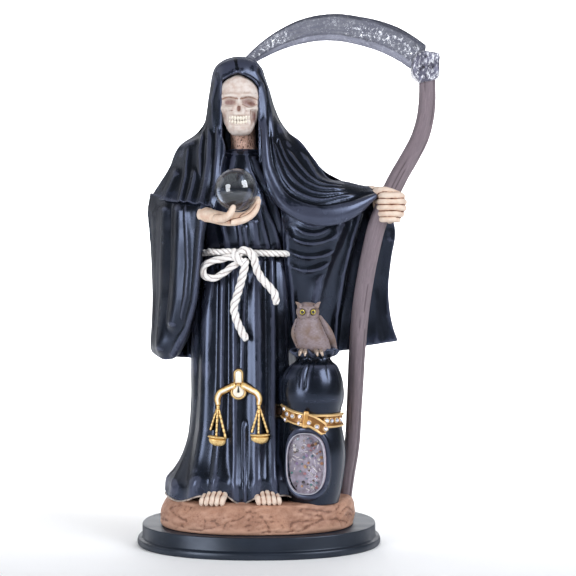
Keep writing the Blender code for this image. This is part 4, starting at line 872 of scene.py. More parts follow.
def sack(around, down):
    """A full sack, creased under its tied neck, with a lipped pocket for the window."""
    t = np.linspace(0, 2 * math.pi, around, endpoint=False)
    rows = along(SACK, down)
    middle, across, out = window_frame()
    rings = []
    for level, half, shift in rows:
        gather = float(ease((level - 100) / 20))
        frill = float(ease((level - 120.5) / 4))
        crease = 0.030 * gather * np.abs(np.cos(5.5 * t + 0.9)) ** 0.6 - 0.02 * gather
        crease = crease - 0.055 * float(fade(level, 104, 117,
            5)) * np.exp(-(((t - math.radians(256)) / 0.05) ** 2))
        crease = crease + 0.020 * float(fade(level, 104, 117,
            5)) * np.exp(-(((t - math.radians(249)) / 0.06) ** 2))
        wave = 0.13 * frill * np.cos(11 * t + 0.6) + 0.04 * frill * np.cos(17 * t)
        radius = half * (1 + crease + wave)
        ring = np.column_stack([
            SACK_MIDDLE[0] + shift + radius * np.cos(t), SACK_MIDDLE[1] + radius * SACK_DEPTH * np.sin(t),
            level + 1.3 * frill * np.cos(11 * t + 2.2),
        ])
        aside, up = (ring - middle) @ across, ring[:, 2] - WINDOW_LEVEL
        reach = (np.abs(aside / (own(WINDOW_WIDTH) / 2)) ** 2.7
            + np.abs(up / (own(WINDOW_HEIGHT) / 2)) ** 2.7) ** (1 / 2.7)
        facing = (ring - middle) @ out > -12
        spoke = np.column_stack([np.cos(t), np.sin(t), 0 * t])
        lip = WINDOW_LIP * np.exp(-(((reach - 1.14) / 0.075) ** 2)) * facing
        pocket = own(WINDOW_DEPTH) * ease((1.035 - reach) / 0.05) * facing
        rings.append(ring + spoke * (lip - pocket)[:, None])
    return stacked(rings)


def sack_ring(level, count, extra=0.0):
    """A ring round the sack at a level, extra outside its skin."""
    half, shift = sack_radius(level)
    t = np.linspace(0, 2 * math.pi, count, endpoint=False)
    return np.column_stack([
        SACK_MIDDLE[0] + shift + (half + extra) * np.cos(t),
        SACK_MIDDLE[1] + (half * SACK_DEPTH + extra) * np.sin(t),
        np.full(count, float(level)),
    ])


def belt_level(turn):
    """The level of the belt's middle at an angle round the sack: it climbs to the left."""
    return BELT_LEVEL + BELT_RISE * ((1 - np.cos(turn)) / 2) ** 4


def belt(count):
    """The strap round the sack, with a raised edge above and below."""
    t = np.linspace(0, 2 * math.pi, count, endpoint=False)
    half, thick = own(BELT_HEIGHT) / 2, own(BELT_THICKNESS)
    profile = [(-1.0, -3.0), (-1.0, 1.0), (-0.94, 1.25), (-0.82, 1.25), (-0.74, 0.75), (0.74, 0.75),
        (0.82, 1.25),
               (0.94, 1.25), (1.0, 1.0), (1.0, -3.0)]
    profile = along(profile, 40)
    rings = []
    for up, out in profile:
        ring = sack_ring(BELT_LEVEL, count, out * thick + 0.9)
        ring[:, 2] = belt_level(t) + up * half
        rings.append(ring)
    rings.append(rings[0])
    points = np.concatenate(rings[:-1])
    index = np.arange(len(points)).reshape(len(profile), count)
    after = np.roll(index, -1, axis=1)
    below, below_after = np.roll(index, -1, axis=0), np.roll(after, -1, axis=0)
    return points, np.stack([index, after, below_after, below], axis=-1).reshape(-1, 4).tolist()


# The skull and neck

SKULL = [
    (280.4, -16.8, -9.4, -17.6, -12), (281.4, -19.6, -6.6, -20.2, -8), (284.0, -21.9, -4.4, -21.6, -5),
    (287.7, -24.0, -2.6, -21.9, -3), (291.2, -26.0, -1.2, -21.4, -1), (297, -28.2, 0.1, -20.6, 0),
    (302.7, -29.0, 0.9, -20.2, 2),
    (307.7, -29.0, 1.0, -20.0, 3), (312, -28.7, 0.2, -19.7, 3.5), (316.3, -27.8, -1.4, -19.0, 3),
    (320, -24.8, -4.4, -17.6, 1),
    (322.6, -20.6, -8.6, -15.6, -2), (324.2, -17.0, -12.2, -13.5, -5),
]
SKULL_MARKS = [
    # x, level, half-width, half-height, how far in (+) or out (-), sharpness
    (-20.9, 304.0, 4.9, 2.9, 3.2, 2.4), (-6.9, 303.9, 4.9, 3.1, 3.8, 2.4),
    (-4.8, 302.8, 2.4, 1.7, 2.2, 2), (-14.0, 299.6, 1.7, 2.3, 2.4, 2.0),
    (-20.8, 308.8, 6.2, 1.3, -1.3, 2.2), (-6.7, 308.9, 6.2, 1.3, -1.5, 2.2),
    (-13.9, 305.0, 1.5, 3.0, -1.7, 2),
    (-21.8, 299.8, 4.0, 1.4, -1.8, 2), (-4.4, 299.6, 4.6, 1.6, -2.4, 2), (-24.4, 293.4, 2.2, 4.4, 2.2, 2.4),
    (-3.4, 293.6, 2.1, 4.2, 3.6, 2.4), (-14.0, 296.0, 5.6, 1.3, -1.0, 2), (-13.6, 290.9, 7.6, 3.2, 1.3, 4),
    (-13.4, 286.4, 6.4, 1.3, -1.0, 2), (-13.2, 283.4, 5.0, 1.8, -1.3, 2), (-26.0, 309.6, 1.2, 4.0, 0.7, 2),
    (-1.9, 309.6, 1.2, 4.0, 0.7, 2),
]
FACE_LINES = [
    # three points (x, level) on each painted brown line, its half-width and its strength; the broad ones are
    # painted shade in the cheeks' hollows, beside the nose and under the teeth
    ((-26.8, 306.4), (-21.4, 307.5), (-14.8, 306.2), 0.75, 1.0),
    ((-12.8, 306.2), (-6.6, 307.6), (-0.8, 306.2), 0.75, 1.0),
    ((-26.4, 303.0), (-21.4, 300.8), (-16.2, 302.6), 0.6, 0.55),
    ((-11.4, 302.4), (-6.4, 300.2), (-1.4, 302.8), 0.7, 0.8),
    ((-16.0, 298.4), (-14.8, 301.4), (-14.2, 302.6), 0.5, 0.6),
    ((-12.2, 298.2), (-12.9, 301.2), (-13.6, 302.6), 0.5, 0.5),
    ((-22.8, 298.6), (-21.8, 294.8), (-21.4, 290.4), 0.45, 0.5),
    ((-5.6, 298.0), (-5.6, 294.0), (-5.0, 289.4), 0.6, 0.8),
    ((-20.4, 295.0), (-14.0, 294.2), (-6.8, 295.0), 0.35, 0.7),
    ((-20.0, 288.4), (-13.6, 286.8), (-7.2, 288.4), 0.35, 0.55),
    ((-25.8, 299.0), (-24.4, 293.6), (-22.4, 287.6), 1.9, 0.56),
    ((-2.2, 298.0), (-3.2, 293.0), (-5.4, 287.0), 1.6, 0.62),
    ((-18.2, 300.0), (-18.8, 297.4), (-18.0, 295.6), 1.2, 0.52),
    ((-9.8, 300.0), (-9.2, 297.4), (-9.8, 295.6), 1.2, 0.56),
    ((-20.0, 284.6), (-13.6, 283.0), (-7.0, 284.6), 1.4, 0.44),
    ((-24.6, 301.6), (-23.8, 297.2), (-24.6, 292.4), 0.4, 0.4),
    ((-17.6, 300.2), (-18.2, 298.0), (-17.8, 296.2), 0.4, 0.5),
]
SKULL_DEEP = 1.4
TEETH_ROWS = [
    # level, half-height, how far the row bends down at its ends, number of teeth
    (292.3, 1.65, -0.9, 8), (289.2, 1.4, -1.1, 8),
]


def skull(around, down):
    """A skull as level rings, with sockets, nose, cheekbones and jaw pressed in or raised."""
    rings = rings_of(SKULL, around, down, 2.25)
    x, y, z = rings[..., 0], rings[..., 1], rings[..., 2]
    front = y < rings.mean(axis=1, keepdims=True)[..., 1]
    for mx, mz, wide, high, deep, sharp in SKULL_MARKS:
        reach = np.abs((x - mx) / wide) ** sharp + np.abs((z - mz) / high) ** sharp
        rings[..., 1] += front * deep * np.exp(-reach)
    return stacked(rings)


def shade_sockets(thing):
    """Stores painted shade by how far inside an eye socket, the nose or a cheek's hollow each point of the
    skull lies, and the painted brown lines, some of them broad strokes of painted shade.
    """
    count = len(thing.data.vertices)
    points = np.empty(count * 3)
    thing.data.vertices.foreach_get("co", points)
    points = (points.reshape(-1, 3) - (0, 0, FOOT_LEVEL)) / UNIT
    painted_shade = np.zeros(count)
    for mx, mz, wide, high, deep, sharp in SKULL_MARKS:
        if deep > SKULL_DEEP:
            reach = np.abs((points[:, 0] - mx) / wide) ** sharp + np.abs((points[:, 2] - mz) / high) ** sharp
            painted_shade = np.maximum(painted_shade, np.exp(-reach) * (points[:, 1] < -6) * min(1.0, deep / 4.6))
    layer = thing.data.attributes.new("painted_shade", "FLOAT", "POINT")
    layer.data.foreach_set("value", painted_shade)
    line = np.zeros(count)
    for *bends, wide, strength in FACE_LINES:
        for x, level in along([(x, 0, level) for x, level in bends], 26)[:, [0, 2]]:
            away = (points[:, 0] - x) ** 2 + (points[:, 2] - level) ** 2
            line = np.maximum(line, strength * np.exp(-away / wide**2) * (points[:, 1] < -8))
    layer = thing.data.attributes.new("line", "FLOAT", "POINT")
    layer.data.foreach_set("value", line)
    return thing


def teeth():
    """Two rows of teeth round the jaw's curve."""
    shells = []
    random = np.random.default_rng(5)
    for level, half, bend, count in TEETH_ROWS:
        half = half * random.uniform(0.94, 1.04)
        for share in np.linspace(-1, 1, count) + random.uniform(-0.02, 0.02, count):
            x = -13.6 + 6.8 * share
            y = -21.2 + 2.4 * share**2
            wide = 1.05 - 0.12 * share**2
            shells.append(egg((x, y, level - bend * share**2), (wide, 0.8, half * (1 - 0.12 * share**2)),
                14, 14))
    return shells


NECK = [(266.5, -22.0, 0.4, -12.6, 12), (268, -21.4, -0.2, -12.0, 11), (271, -20.8, -1.4, -11, 9),
    (275, -20.6, -2.0, -10.6, 9),
        (280, -20.8, -2.4, -10.6, 8), (288, -20.8, -3, -10, 8)]


def neck(around, down):
    """The neck, in upright strings of sinew over a torn, flared foot."""
    rings = rings_of(NECK, around, down, 2.0)
    middle = rings.mean(axis=1, keepdims=True)
    outward = rings - middle
    angle = np.arctan2(outward[..., 1], outward[..., 0])
    outward /= np.linalg.norm(outward, axis=2, keepdims=True)
    wander = 0.9 * np.sin(rings[..., 2] * 0.5) + 0.5 * np.sin(rings[..., 2] * 1.3 + 1)
    strings = 0.16 * np.cos(9 * angle + wander) + 0.45 * rough(rings, 6, 61, 3)
    strings -= 0.5 * np.exp(-((rough(rings * (1.5, 1.5, 0.8), 5.0, 67, 2) / 0.10) ** 2))
    z = rings[..., 2]
    rings += outward * (strings * (0.5 + 0.7 * ease((276 - z) / 9)))[..., None]
    rings[..., 2] += 0.9 * np.cos(11 * angle + 1) * ease((270 - z) / 4)
    return stacked(rings)


# The hands and feet

PALM = [((-38, -43, 222.4), 4.9), ((-33.6, -47, 221.8), 4.8), ((-27, -52, 220.2), 4.7),
    ((-20, -55.5, 219.0), 4.7), ((-13.5, -56, 219.6), 4.4),
        ((-9, -55, 220.8), 3.6)]
OPEN_FINGERS = [
    [((-16, -60.5, 216.6), 2.4), ((-9.5, -62.0, 218.2), 2.3), ((-4.2, -61.5, 221.2), 2.1),
        ((-1.0, -60, 224.8), 1.9), ((0.4, -58.8, 227.8), 1.6)],
    [((-15, -57.0, 218.2), 2.7), ((-8, -58.6, 220.6), 2.5), ((-3.0, -58, 224.4), 2.3),
        ((-0.2, -56, 228.6), 2.1), ((0.8, -54.5, 231.8), 1.8)],
    [((-15, -52.6, 219.4), 2.8), ((-7, -54, 222.2), 2.5), ((-2.4, -53, 226.6), 2.2),
        ((-0.4, -51, 230.6), 2.0), ((0.2, -49.8, 233.6), 1.7)],
    [((-16, -47.5, 219.8), 2.7), ((-8, -48, 223.0), 2.3), ((-3.6, -47, 227.0), 2.0),
        ((-2.4, -45.8, 230.4), 1.7)],
]
OPEN_THUMB = [((-28, -56, 219.4), 3.0), ((-22.5, -61, 219.8), 2.9), ((-19.0, -63.6, 222.0), 2.5),
    ((-17.2, -64.2, 225.0), 2.3), ((-16.4, -64.0, 227.0), 1.9)]
CUFF = [((-37.6, -41.5, 223), 5.4), ((-34.4, -45.5, 222.4), 5.0)]

HANDLE = [
    (62.6, -9, 17.0), (64.8, -9.5, 36), (67.4, -10, 54), (69.6, -11, 90), (71.4, -12, 126),
    (74.6, -13.5, 162),
    (80.8, -15, 197), (85.2, -16, 215), (90.6, -16, 229), (97.6, -16, 244.5), (101.5, -16, 252),
    (109, -16, 265),
    (115.6, -16, 278), (119.6, -15.6, 292), (121.2, -15, 306), (121.2, -14.6, 318), (121.0, -14.3, 329),
]
HANDLE_TAPER = [(0.00, 0.74), (0.10, 0.86), (0.30, 0.96), (0.55, 1.06), (0.75, 1.02), (1.00, 0.92)]
FIST_BANDS = [
    # level, left, right, radius: the fingers that close over the handle
    (236.8, 88.0, 102.2, 2.45), (232.6, 87.2, 103.6, 2.35), (228.2, 87.2, 103.4, 2.35),
    (223.8, 87.4, 101.8, 2.25),
    (219.8, 87.8, 99.6, 2.05),
]
FIST_FRONT = -24.6


def handle_radius(share):
    """The handle's radius at a share of its length, in the casting's own units."""
    return own(HANDLE_DIAMETER) / 2 * np.interp(share, *zip(*HANDLE_TAPER, strict=True))


def fist():
    """Fingers wrapped round the handle from the back of the hand, under the thumb."""
    shells = []
    for level, left, right, size in FIST_BANDS:
        path = [(left - 1.4, -9, level + 0.3), (left - 1.2, -17, level + 0.2),
            (left + 1.8, FIST_FRONT + 1.2, level),
                ((left + right) / 2, FIST_FRONT, level), (right - 2.0, FIST_FRONT + 0.4, level),
                (right + 0.4, -19.5, level - 0.1), (right + 0.2, -12.5, level - 0.1),
                (right - 3.5, -8.2, level)]
        shells.append(tube(path, [size, size, size, size, size * 1.02, size * 1.06, size, size * 0.9], 46,
            18))
    shells.append(tube([(85.0, -12, 237.6), (86.0, -17, 239.6), (91, -20.6, 240.0), (97, -21.2, 238.6),
        (101.5, -18.6, 237.4)],
                       [4.2, 4.0, 3.4, 3.0, 2.4], 30, 18))
    shells.append(tube([(86.4, -9, 240), (87.0, -13, 231), (88.6, -13.5, 221.4)], [4.2, 4.6, 3.8], 24, 18))
    shells.append(tube([(97, -7.6, 238), (97, -6.6, 230), (95, -7.2, 220.6)], [3.6, 4.2, 3.4], 20, 16))
    shells.append(tube([(78, -7, 240.2), (83, -10.5, 239.6), (87, -13, 236)], [4.6, 4.8, 4.8], 16, 18))
    return shells


TOES = [(0, 0.75, 1.75), (3.5, 1.0, 1.85), (7.1, 1.12, 1.9), (10.7, 1.10, 1.95), (14.4, 0.95, 2.15)]
TOES_WIDE = 14.4
FEET = [(-40.9, 20.3, False), (-0.9, 20.6, True)]


def foot(left, level, turned):
    """Five toes side by side, which come out bent from under the hem."""
    shells = []
    lean = -1 if turned else 1
    for step, stretch, size in TOES:
        x = left + 1.75 + (TOES_WIDE - step if turned else step)
        tip = -52.4 - 1.4 * stretch
        top = level + 6.2 * stretch
        path = [(x + 1.9 * lean, -42, top + 0.4), (x + 1.6 * lean, -46.4, top),
            (x + 1.0 * lean, -49.8, top - 1.6),
                (x + 0.4 * lean, tip + 0.6, level + 3.4), (x, tip, level + 1.6), (x, tip + 1.2, level + 0.2)]
        shells.append(tube(path, [size, size, size, size * 1.04, size * 0.95, size * 0.7], 34, 18))
    return shells


# The ground

GROUND = [
    (0, -70.5, 68.5, -60, 50), (1.5, -71.3, 69.2, -60.6, 50.7), (4, -71.6, 69.6, -60.8, 51),
    (10, -71.0, 69.6, -60.2, 51),
    (15, -69.4, 69.0, -58.6, 50), (18.5, -67.0, 67.4, -56.4, 48), (20.4, -62.0, 62.0, -51.5, 43),
    (20.9, -50, 50, -42, 34),
]


def ground(around, down):
    """The lump of earth under the feet, broken and scored on its sides."""
    rings = rings_of(GROUND, around, down, 2.35)
    middle = rings.mean(axis=1, keepdims=True)
    outward = rings - middle
    outward[..., 2] = 0
    outward /= np.linalg.norm(outward, axis=2, keepdims=True)
    above = fade(rings[..., 2], 2.5, 40, 2.5)
    flat = rings * (1, 1, 2.2)
    lump = 0.85 * rough(flat, 46, 3) + 0.30 * rough(flat, 14, 5) + 0.16 * rough(flat, 6, 6)
    for stretch, grain, seed, deep in ((3.0, 90, 11, 0.8), (1.5, 70, 21, 0.6), (2.2, 50, 23, 0.5)):
        score = np.abs(rough(rings * (1, 1, stretch), grain, seed, 3))
        lump -= deep * np.exp(-((score / 0.05) ** 2))
    rings += outward * (lump * above)[..., None]
    rings[..., 2] += (0.6 * rough(rings, 40, 4) + 0.25 * rough(rings, 12, 9)) * above
    rings[..., 2] += 1.6 * np.exp(-(((rings[..., 0] - 64) / 6) ** 2)) * np.exp(-(((rings[..., 1]
        + 20) / 14) ** 2)) * above
    return stacked(rings)


# The owl

OWL = [
    # level, left, right, front, back
    (124.5, 31.5, 49.5, -41.5, -26), (128, 28.6, 51.4, -43.2, -24), (134, 26.4, 50.0, -44.6, -24),
    (140, 25.6, 47.2, -44.6, -25),
    (146, 26.8, 44.6, -44.0, -26), (150.5, 27.8, 42.8, -43.4, -27), (153.5, 27.4, 42.6, -43.7, -27),
    (157, 27.6, 42.4, -43.2, -27),
    (159.6, 29.4, 40.8, -41.0, -28), (161.0, 32.6, 37.6, -38, -31),
]


def owl():
    """The owl's body: a round head on a full breast, with a folded wing, a tail and tufts."""
    rings = rings_of(OWL, 96, 80, 2.05)
    middle = rings.mean(axis=1, keepdims=True)
    x, z = rings[..., 0], rings[..., 2]
    front = rings[..., 1] < middle[..., 1]
    discs = 0
    for eye in (31.3, 38.9):
        away = np.hypot(x - eye, (z - 154.2) * 0.95)
        discs = discs + 0.9 * np.exp(-(((away - 3.3) / 0.8) ** 2)) - 0.7 * np.exp(-((away / 2.2) ** 4))
    outward = rings - middle
    outward /= np.linalg.norm(outward, axis=2, keepdims=True)
    plumes = 0.09 * np.sin(z * 2.3 + 1.3 * np.sin(x * 1.9)) * fade(z, 126, 150, 4)
    rings += outward * (discs * front + plumes)[..., None]
    wing = tube([(43, -33, 149), (47.5, -30, 141), (51.5, -26, 133.5), (55.0, -23, 127.0)],
        [3.0, 4.4, 3.9, 1.6], 30, 24, flat=0.7)
    other_wing = tube([(27.6, -35, 148), (26.4, -35, 139), (28.4, -35, 130)], [1.6, 3.0, 1.8], 24, 20,
        flat=0.7)
    tufts = [tube([(29.8, -40.2, 158.2), (28.2, -40, 160.0), (26.6, -39.8, 161.2)], [2.0, 1.3, 0.4], 12, 12),
             tube([(41.2, -40.2, 158.2), (42.6, -40, 160.0), (44.0, -39.8, 161.2)], [2.0, 1.3, 0.4], 12, 12)]
    beak = tube([(35.1, -43.6, 154.0), (35.1, -45.6, 152.6), (35.1, -45.9, 150.8)], [1.3, 1.0, 0.4], 14, 12)
    return [stacked(rings), wing, other_wing, *tufts, beak]


# The girdle and the scales

GIRDLE = [(-42, -6, 196), (-40.0, -18, 196), (-31, -27.5, 196.3), (-13, -31.0, 196.0), (6, -29.6, 195.6),
    (18.0, -25, 195.4), (22.5, -16, 195), (24, -6, 195)]
GIRDLE_STUB = [(-13, -34.2, 196.2), (-22, -34.2, 196.8), (-30, -33.0, 196.4), (-35.8, -31.6, 197.2)]
GIRDLE_LOOP = [(-13, -35.0, 192.9), (-20, -36.0, 192.6), (-28, -36.0, 191.0), (-35.3, -35.6, 188.8),
    (-39.0, -35, 184.6), (-38.0, -34.8, 180.0),
               (-33.4, -34.6, 177.8), (-27.4, -34.6, 179.6), (-21, -35.6, 184.2), (-14.1, -36.4, 189.0)]
GIRDLE_TAIL_LEFT = [(-8.6, -36.5, 191), (-9.2, -37.4, 187), (-12, -36.6, 175.3), (-15.3, -36.6, 164),
    (-16.9, -36.8, 158), (-15.6, -37.0, 149.8),
                    (-12.0, -37.4, 141.4), (-8.5, -37.8, 134.9)]
GIRDLE_TAIL_RIGHT = [(-13.0, -35.6, 194.0), (-11.6, -37.2, 197.2), (-7.6, -38.0, 197.4),
    (-3.2, -37.6, 192.4), (-0.9, -36.0, 184.0), (3.2, -35.4, 177.0),
                     (8.3, -35.6, 171.6), (11.8, -36.0, 166.6), (12.7, -36.2, 160.2)]
GIRDLE_KNOT = [(-16.4, -34.6, 197.4), (-15.6, -37.4, 193.6), (-12.8, -37.6, 190.0), (-9.4, -36.0, 188.6)]

HUB = (-13.8, 97.8)
TAB = [(-13.8, 103.6), (-13.8, 110.4)]
ARMS = [
    [(-17.6, 101.6), (-22.6, 99.2), (-27.0, 96.6), (-28.6, 93.0), (-28.3, 89.2)],
    [(-10.0, 101.8), (-5.0, 99.2), (-0.9, 96.6), (0.8, 93.0), (0.6, 89.4)],
]
PANS = [(-28.7, 66.4, 6.3, -0.6), (1.3, 68.2, 6.5, 0.1)]
CHAINS = [
    [(-28.4, 87.6), (-33.6, 71.0)], [(-28.4, 87.6), (-29.4, 66.6)], [(-28.4, 87.6), (-23.0, 66.4)],
    [(0.9, 87.8), (-4.2, 70.0)], [(0.9, 87.8), (0.4, 68.4)], [(0.9, 87.8), (6.8, 69.6)],
]


def robe_front(x, level):
    """How far forward the robe's front lies, folds left out."""
    left, right, front, back = (np.interp(level, [row[0] for row in ROBE], [row[i] for row in ROBE])
        for i in (1, 2, 3, 4))
    t = abs((x - (left + right) / 2) / ((right - left) / 2))
    return (front + back) / 2 - (back - front) / 2 * (1 - min(t, 0.98) ** 2.3) ** (1 / 2.3)


def on_skirt(x, level, proud):
    """A point standing proud of the skirt."""
    return np.array((x, robe_front(x, level) - proud, level))


def disc(x, level, steps, count=48):
    """A round plate facing the viewer, through (proud, radius) steps."""
    turns = np.linspace(0, 2 * math.pi, count, endpoint=False)
    spokes = np.column_stack([np.cos(turns), 0 * turns, np.sin(turns)])
    foot = robe_front(x, level)
    return stacked([np.array((x, foot - proud, level)) + spokes * radius for proud, radius in steps])


def slab(outline, steps):
    """A plate with an outline of (x, level) points, facing the viewer, through (proud, spread) steps."""
    outline = np.array([on_skirt(x, z, 0) for x, z in outline])
    outline[:, 1] = outline[:, 1].min()
    middle = outline.mean(axis=0)
    away = outline - middle
    away /= np.linalg.norm(away, axis=1, keepdims=True)
    return stacked([outline + away * spread - (0, proud, 0) for proud, spread in steps])


def arch(wide, high, count=40):
    """A tab's outline: straight sides under a round top."""
    (x, low), (_, top) = TAB
    turn = np.linspace(0, math.pi, count)
    outline = [(x + wide * math.cos(a), top + wide * math.sin(a) * high) for a in turn]
    return [(x + wide, low), *outline, (x - wide, low)]


def scales_gold():
    """The balance's gold: tab, hub, arms, chains and pans."""
    shells = [
        disc(*HUB, [(-2, 5.6), (3.0, 5.6), (3.9, 5.2), (4.2, 4.7), (3.9, 4.3), (3.1, 4.1), (3.0, 1.0)]),
        slab(arch(3.3, 1.0), [(-3, 0.0), (2.6, 0.0), (3.4, -0.35), (3.5, -0.8), (2.7, -1.1)]),
    ]
    for arm in ARMS:
        path = [on_skirt(x, z, 3.0) for x, z in arm]
        shells.append(tube(path, [2.5, 2.3, 2.2, 2.1, 1.7], 40, 18))
    for i, chain in enumerate(CHAINS):
        start, end = (on_skirt(x, z, 3.2 + (0.6 if i % 3 == 1 else 0)) for x, z in chain)
        links = 13
        for k in range(links):
            at = start + (end - start) * (k + 0.5) / links
            step = (end - start) / links
            size = 0.62 if k % 2 else 0.80
            shells.append(tube([at - step * 0.5, at + step * 0.5], [size, size], 3, 8,
                flat=0.7 if k % 2 else 1.0))
    for (x, z), radius in ((ARMS[0][-1], 1.3), (ARMS[1][-1], 1.3)):
        shells.append(egg(on_skirt(x, z - 2.2, 3.0), (radius, radius, radius * 1.1), 12, 14))
    for x, level, size, lean in PANS:
        depth = robe_front(x, level) - 1.5
        profile = [(0.0, 0.82), (0.2, 1.03), (0.9, 1.07), (1.4, 0.98), (3.0, 0.95), (4.8, 0.86),
            (6.2, 0.66), (7.0, 0.36), (7.2, 0.05)]
        shells.append(stacked([
            oval(x, size * share, depth - size * 0.66 * share, depth + 3, level - drop, 48, 2.0, lean)
            for drop, share in along(profile, 30)
        ]))
    return shells


def scales_shadow():
    """The painted shadow round the balance where it meets the skirt: a dark sheet just behind its edges."""
    shells = [disc(*HUB, [(-2, 6.3), (1.8, 6.3), (2.2, 5.9)]),
        slab(arch(3.9, 1.0), [(-3, 0.2), (1.5, 0.2), (1.9, -0.2)])]
    for arm in ARMS:
        shells.append(tube([on_skirt(x, z, 1.6) for x, z in arm], [3.1, 2.9, 2.8, 2.7, 2.4], 40, 14))
    for chain in CHAINS:
        shells.append(tube([on_skirt(x, z, 1.4) for x, z in chain], [1.3, 1.3], 12, 10))
    return shells


def scales_white():
    """The balance's pale pieces: the dial, and a painted highlight as the tab's panel and a strip along each
    arm.
    """
    shells = [
        disc(*HUB, [(2.6, 4.2), (3.3, 4.0), (3.6, 3.2), (3.75, 1.0)]),
        slab(arch(2.2, 1.0), [(2.4, 0.0), (3.0, 0.0), (3.4, -0.5)]),
    ]
    for arm in ARMS:
        path = [on_skirt(x, z, 4.9) for x, z in arm]
        shells.append(tube(path, [0.75, 0.85, 0.9, 0.8, 0.5], 36, 12))
    return shells


# Building


def build_cloth():
    """The black casting: cloak, sleeves, robe and sack."""
    black = black_paint("black_robe_paint")
    cloak = one_skin(piece("cloak", [
        hood(300, 150), backed(hanging(SHOULDER, SHOULDER_RIDGES, 170, 150), 1.6),
        backed(swag(220, 180), 1.6), cloak_back(260, 200),
    ]), 0.70, 4, TRIANGLES["cloak"])
    sleeve = one_skin(piece("raised_sleeve", [backed(hanging(SLEEVE, SLEEVE_RIDGES, 130, 200), 1.2)]),
        0.6, 2, TRIANGLES["raised_sleeve"])
    drape = one_skin(piece("lowered_sleeve", [backed(arm_drape(180, 200), 1.2)]),
        0.6, 2, TRIANGLES["lowered_sleeve"])
    gown = one_skin(piece("robe", [robe(420, 330)]), 0.62, 2, TRIANGLES["robe"])
    bag = piece("sack", [sack(250, 150)])
    for thing in (cloak, sleeve, drape, gown, bag):
        dress(store_relief(thing), black)
    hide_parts("statue")
    front = robe(420, 330)[0][216:414] + (0, -0.55, -0.25)
    pale = Paint("hem_lining_paint", Roughness=0.6)
    pale.set(Base_Color=pale.mix(pale.noise(180, 4).over(0.40, 0.60), rgb("b9aca2"), rgb("6b5f58")))
    dress(piece("hem_lining", [tube(front, 0.62, 200, 8)]), pale.material)


def build_bone():
    """Skull, teeth, neck, hands and feet."""
    bone = bone_paint("skull_bone_paint", "d4c8c0", "b39584", "6b4028", 1.0, True)
    head = one_skin(piece("skull", [skull(260, 220)]), 0.36, 1, TRIANGLES["skull"])
    dress(shade_sockets(store_relief(head, 8, 60, 0.06, 0.5)), bone)
    ivory = Paint("teeth_paint", Roughness=0.28, Specular_IOR_Level=0.5)
    ivory.set(Base_Color=ivory.mix(ivory.noise(700, 2), rgb("efe8dc"), rgb("dccfbc")))
    dress(piece("teeth", teeth()), ivory.material)
    throat = bone_paint("neck_paint", "c9a594", "a87a64", "3e241a", 1.4)
    dress(store_relief(piece("neck", [neck(130, 50)]), 5, 30, 0.05, 0.4), throat)
    skin = bone_paint("hand_paint", "dfc7b2", "c39478", "5e2f1c", 1.5)
    palm = [tube([p for p, _ in line], [r for _, r in line], 36, 20)
        for line in (PALM, *OPEN_FINGERS, OPEN_THUMB, CUFF)]
    hand = one_skin(piece("open_hand", palm), 0.30, 2, TRIANGLES["open_hand"])
    grip = one_skin(piece("fist", fist()), 0.34, 2, TRIANGLES["fist"])
    toes = [one_skin(piece(name, foot(*place_of)), 0.30, 1, TRIANGLES["toes"])
        for name, place_of in zip(("left_toes", "right_toes"), FEET, strict=True)]
    for thing in (hand, grip, *toes):
        dress(store_relief(thing, 8, 50, 0.06, 0.5), skin)


def build_rope():
    """The rope girdle, its knot, loop and tails."""
    size = own(ROPE_DIAMETER) / 2
    cream = Paint("rope_paint", Specular_IOR_Level=0.35)
    ridge, crease = cream.grain("ridge"), cream.grain("crease")
    cloud = cream.noise(240, 4).over(0.35, 0.7)
    colour = cream.mix(cloud, rgb("e9e6e2"), rgb("d6cdc6"))
    # Painted shade, mauve, in the creases between the strands, and a painted highlight on their ridges.
    colour = cream.mix(crease.over(0.15, 0.9) * 0.75, colour, rgb("85767a"))
    colour = cream.mix(ridge.over(0.2, 1.0) * 0.5, colour, rgb("f8f6f3"))
    cream.set(Base_Color=colour, Roughness=0.5 + 0.2 * cloud)
    cream.set(Normal=cream.bump(cream.noise(1300, 4, (1, 1, 0.5)), 0.00012, 0.6))
    lines = [
        (GIRDLE, 0.92, 11.0, 200, 0.4), (GIRDLE_STUB, 0.90, 11.0, 60, 0.0),
        (GIRDLE_LOOP, 1.0, 26.0, 150, 0.6),
        (GIRDLE_TAIL_LEFT, 1.12, 17.0, 130, 0.2), (GIRDLE_TAIL_RIGHT, 1.12, 17.0, 130, 1.2),
        (GIRDLE_KNOT, 1.15, 22.0, 60, 0.8),
    ]
    for number, (path, share, pitch, count, start) in enumerate(lines, 1):
        cord = one_skin(piece(f"rope_{number}", twisted(path, size * share, pitch, 3, count, start)),
            0.30, 1, TRIANGLES["rope_ring"] * count)
        dress(store_relief(cord, 5, 26, 0.05, 0.30), cream.material)


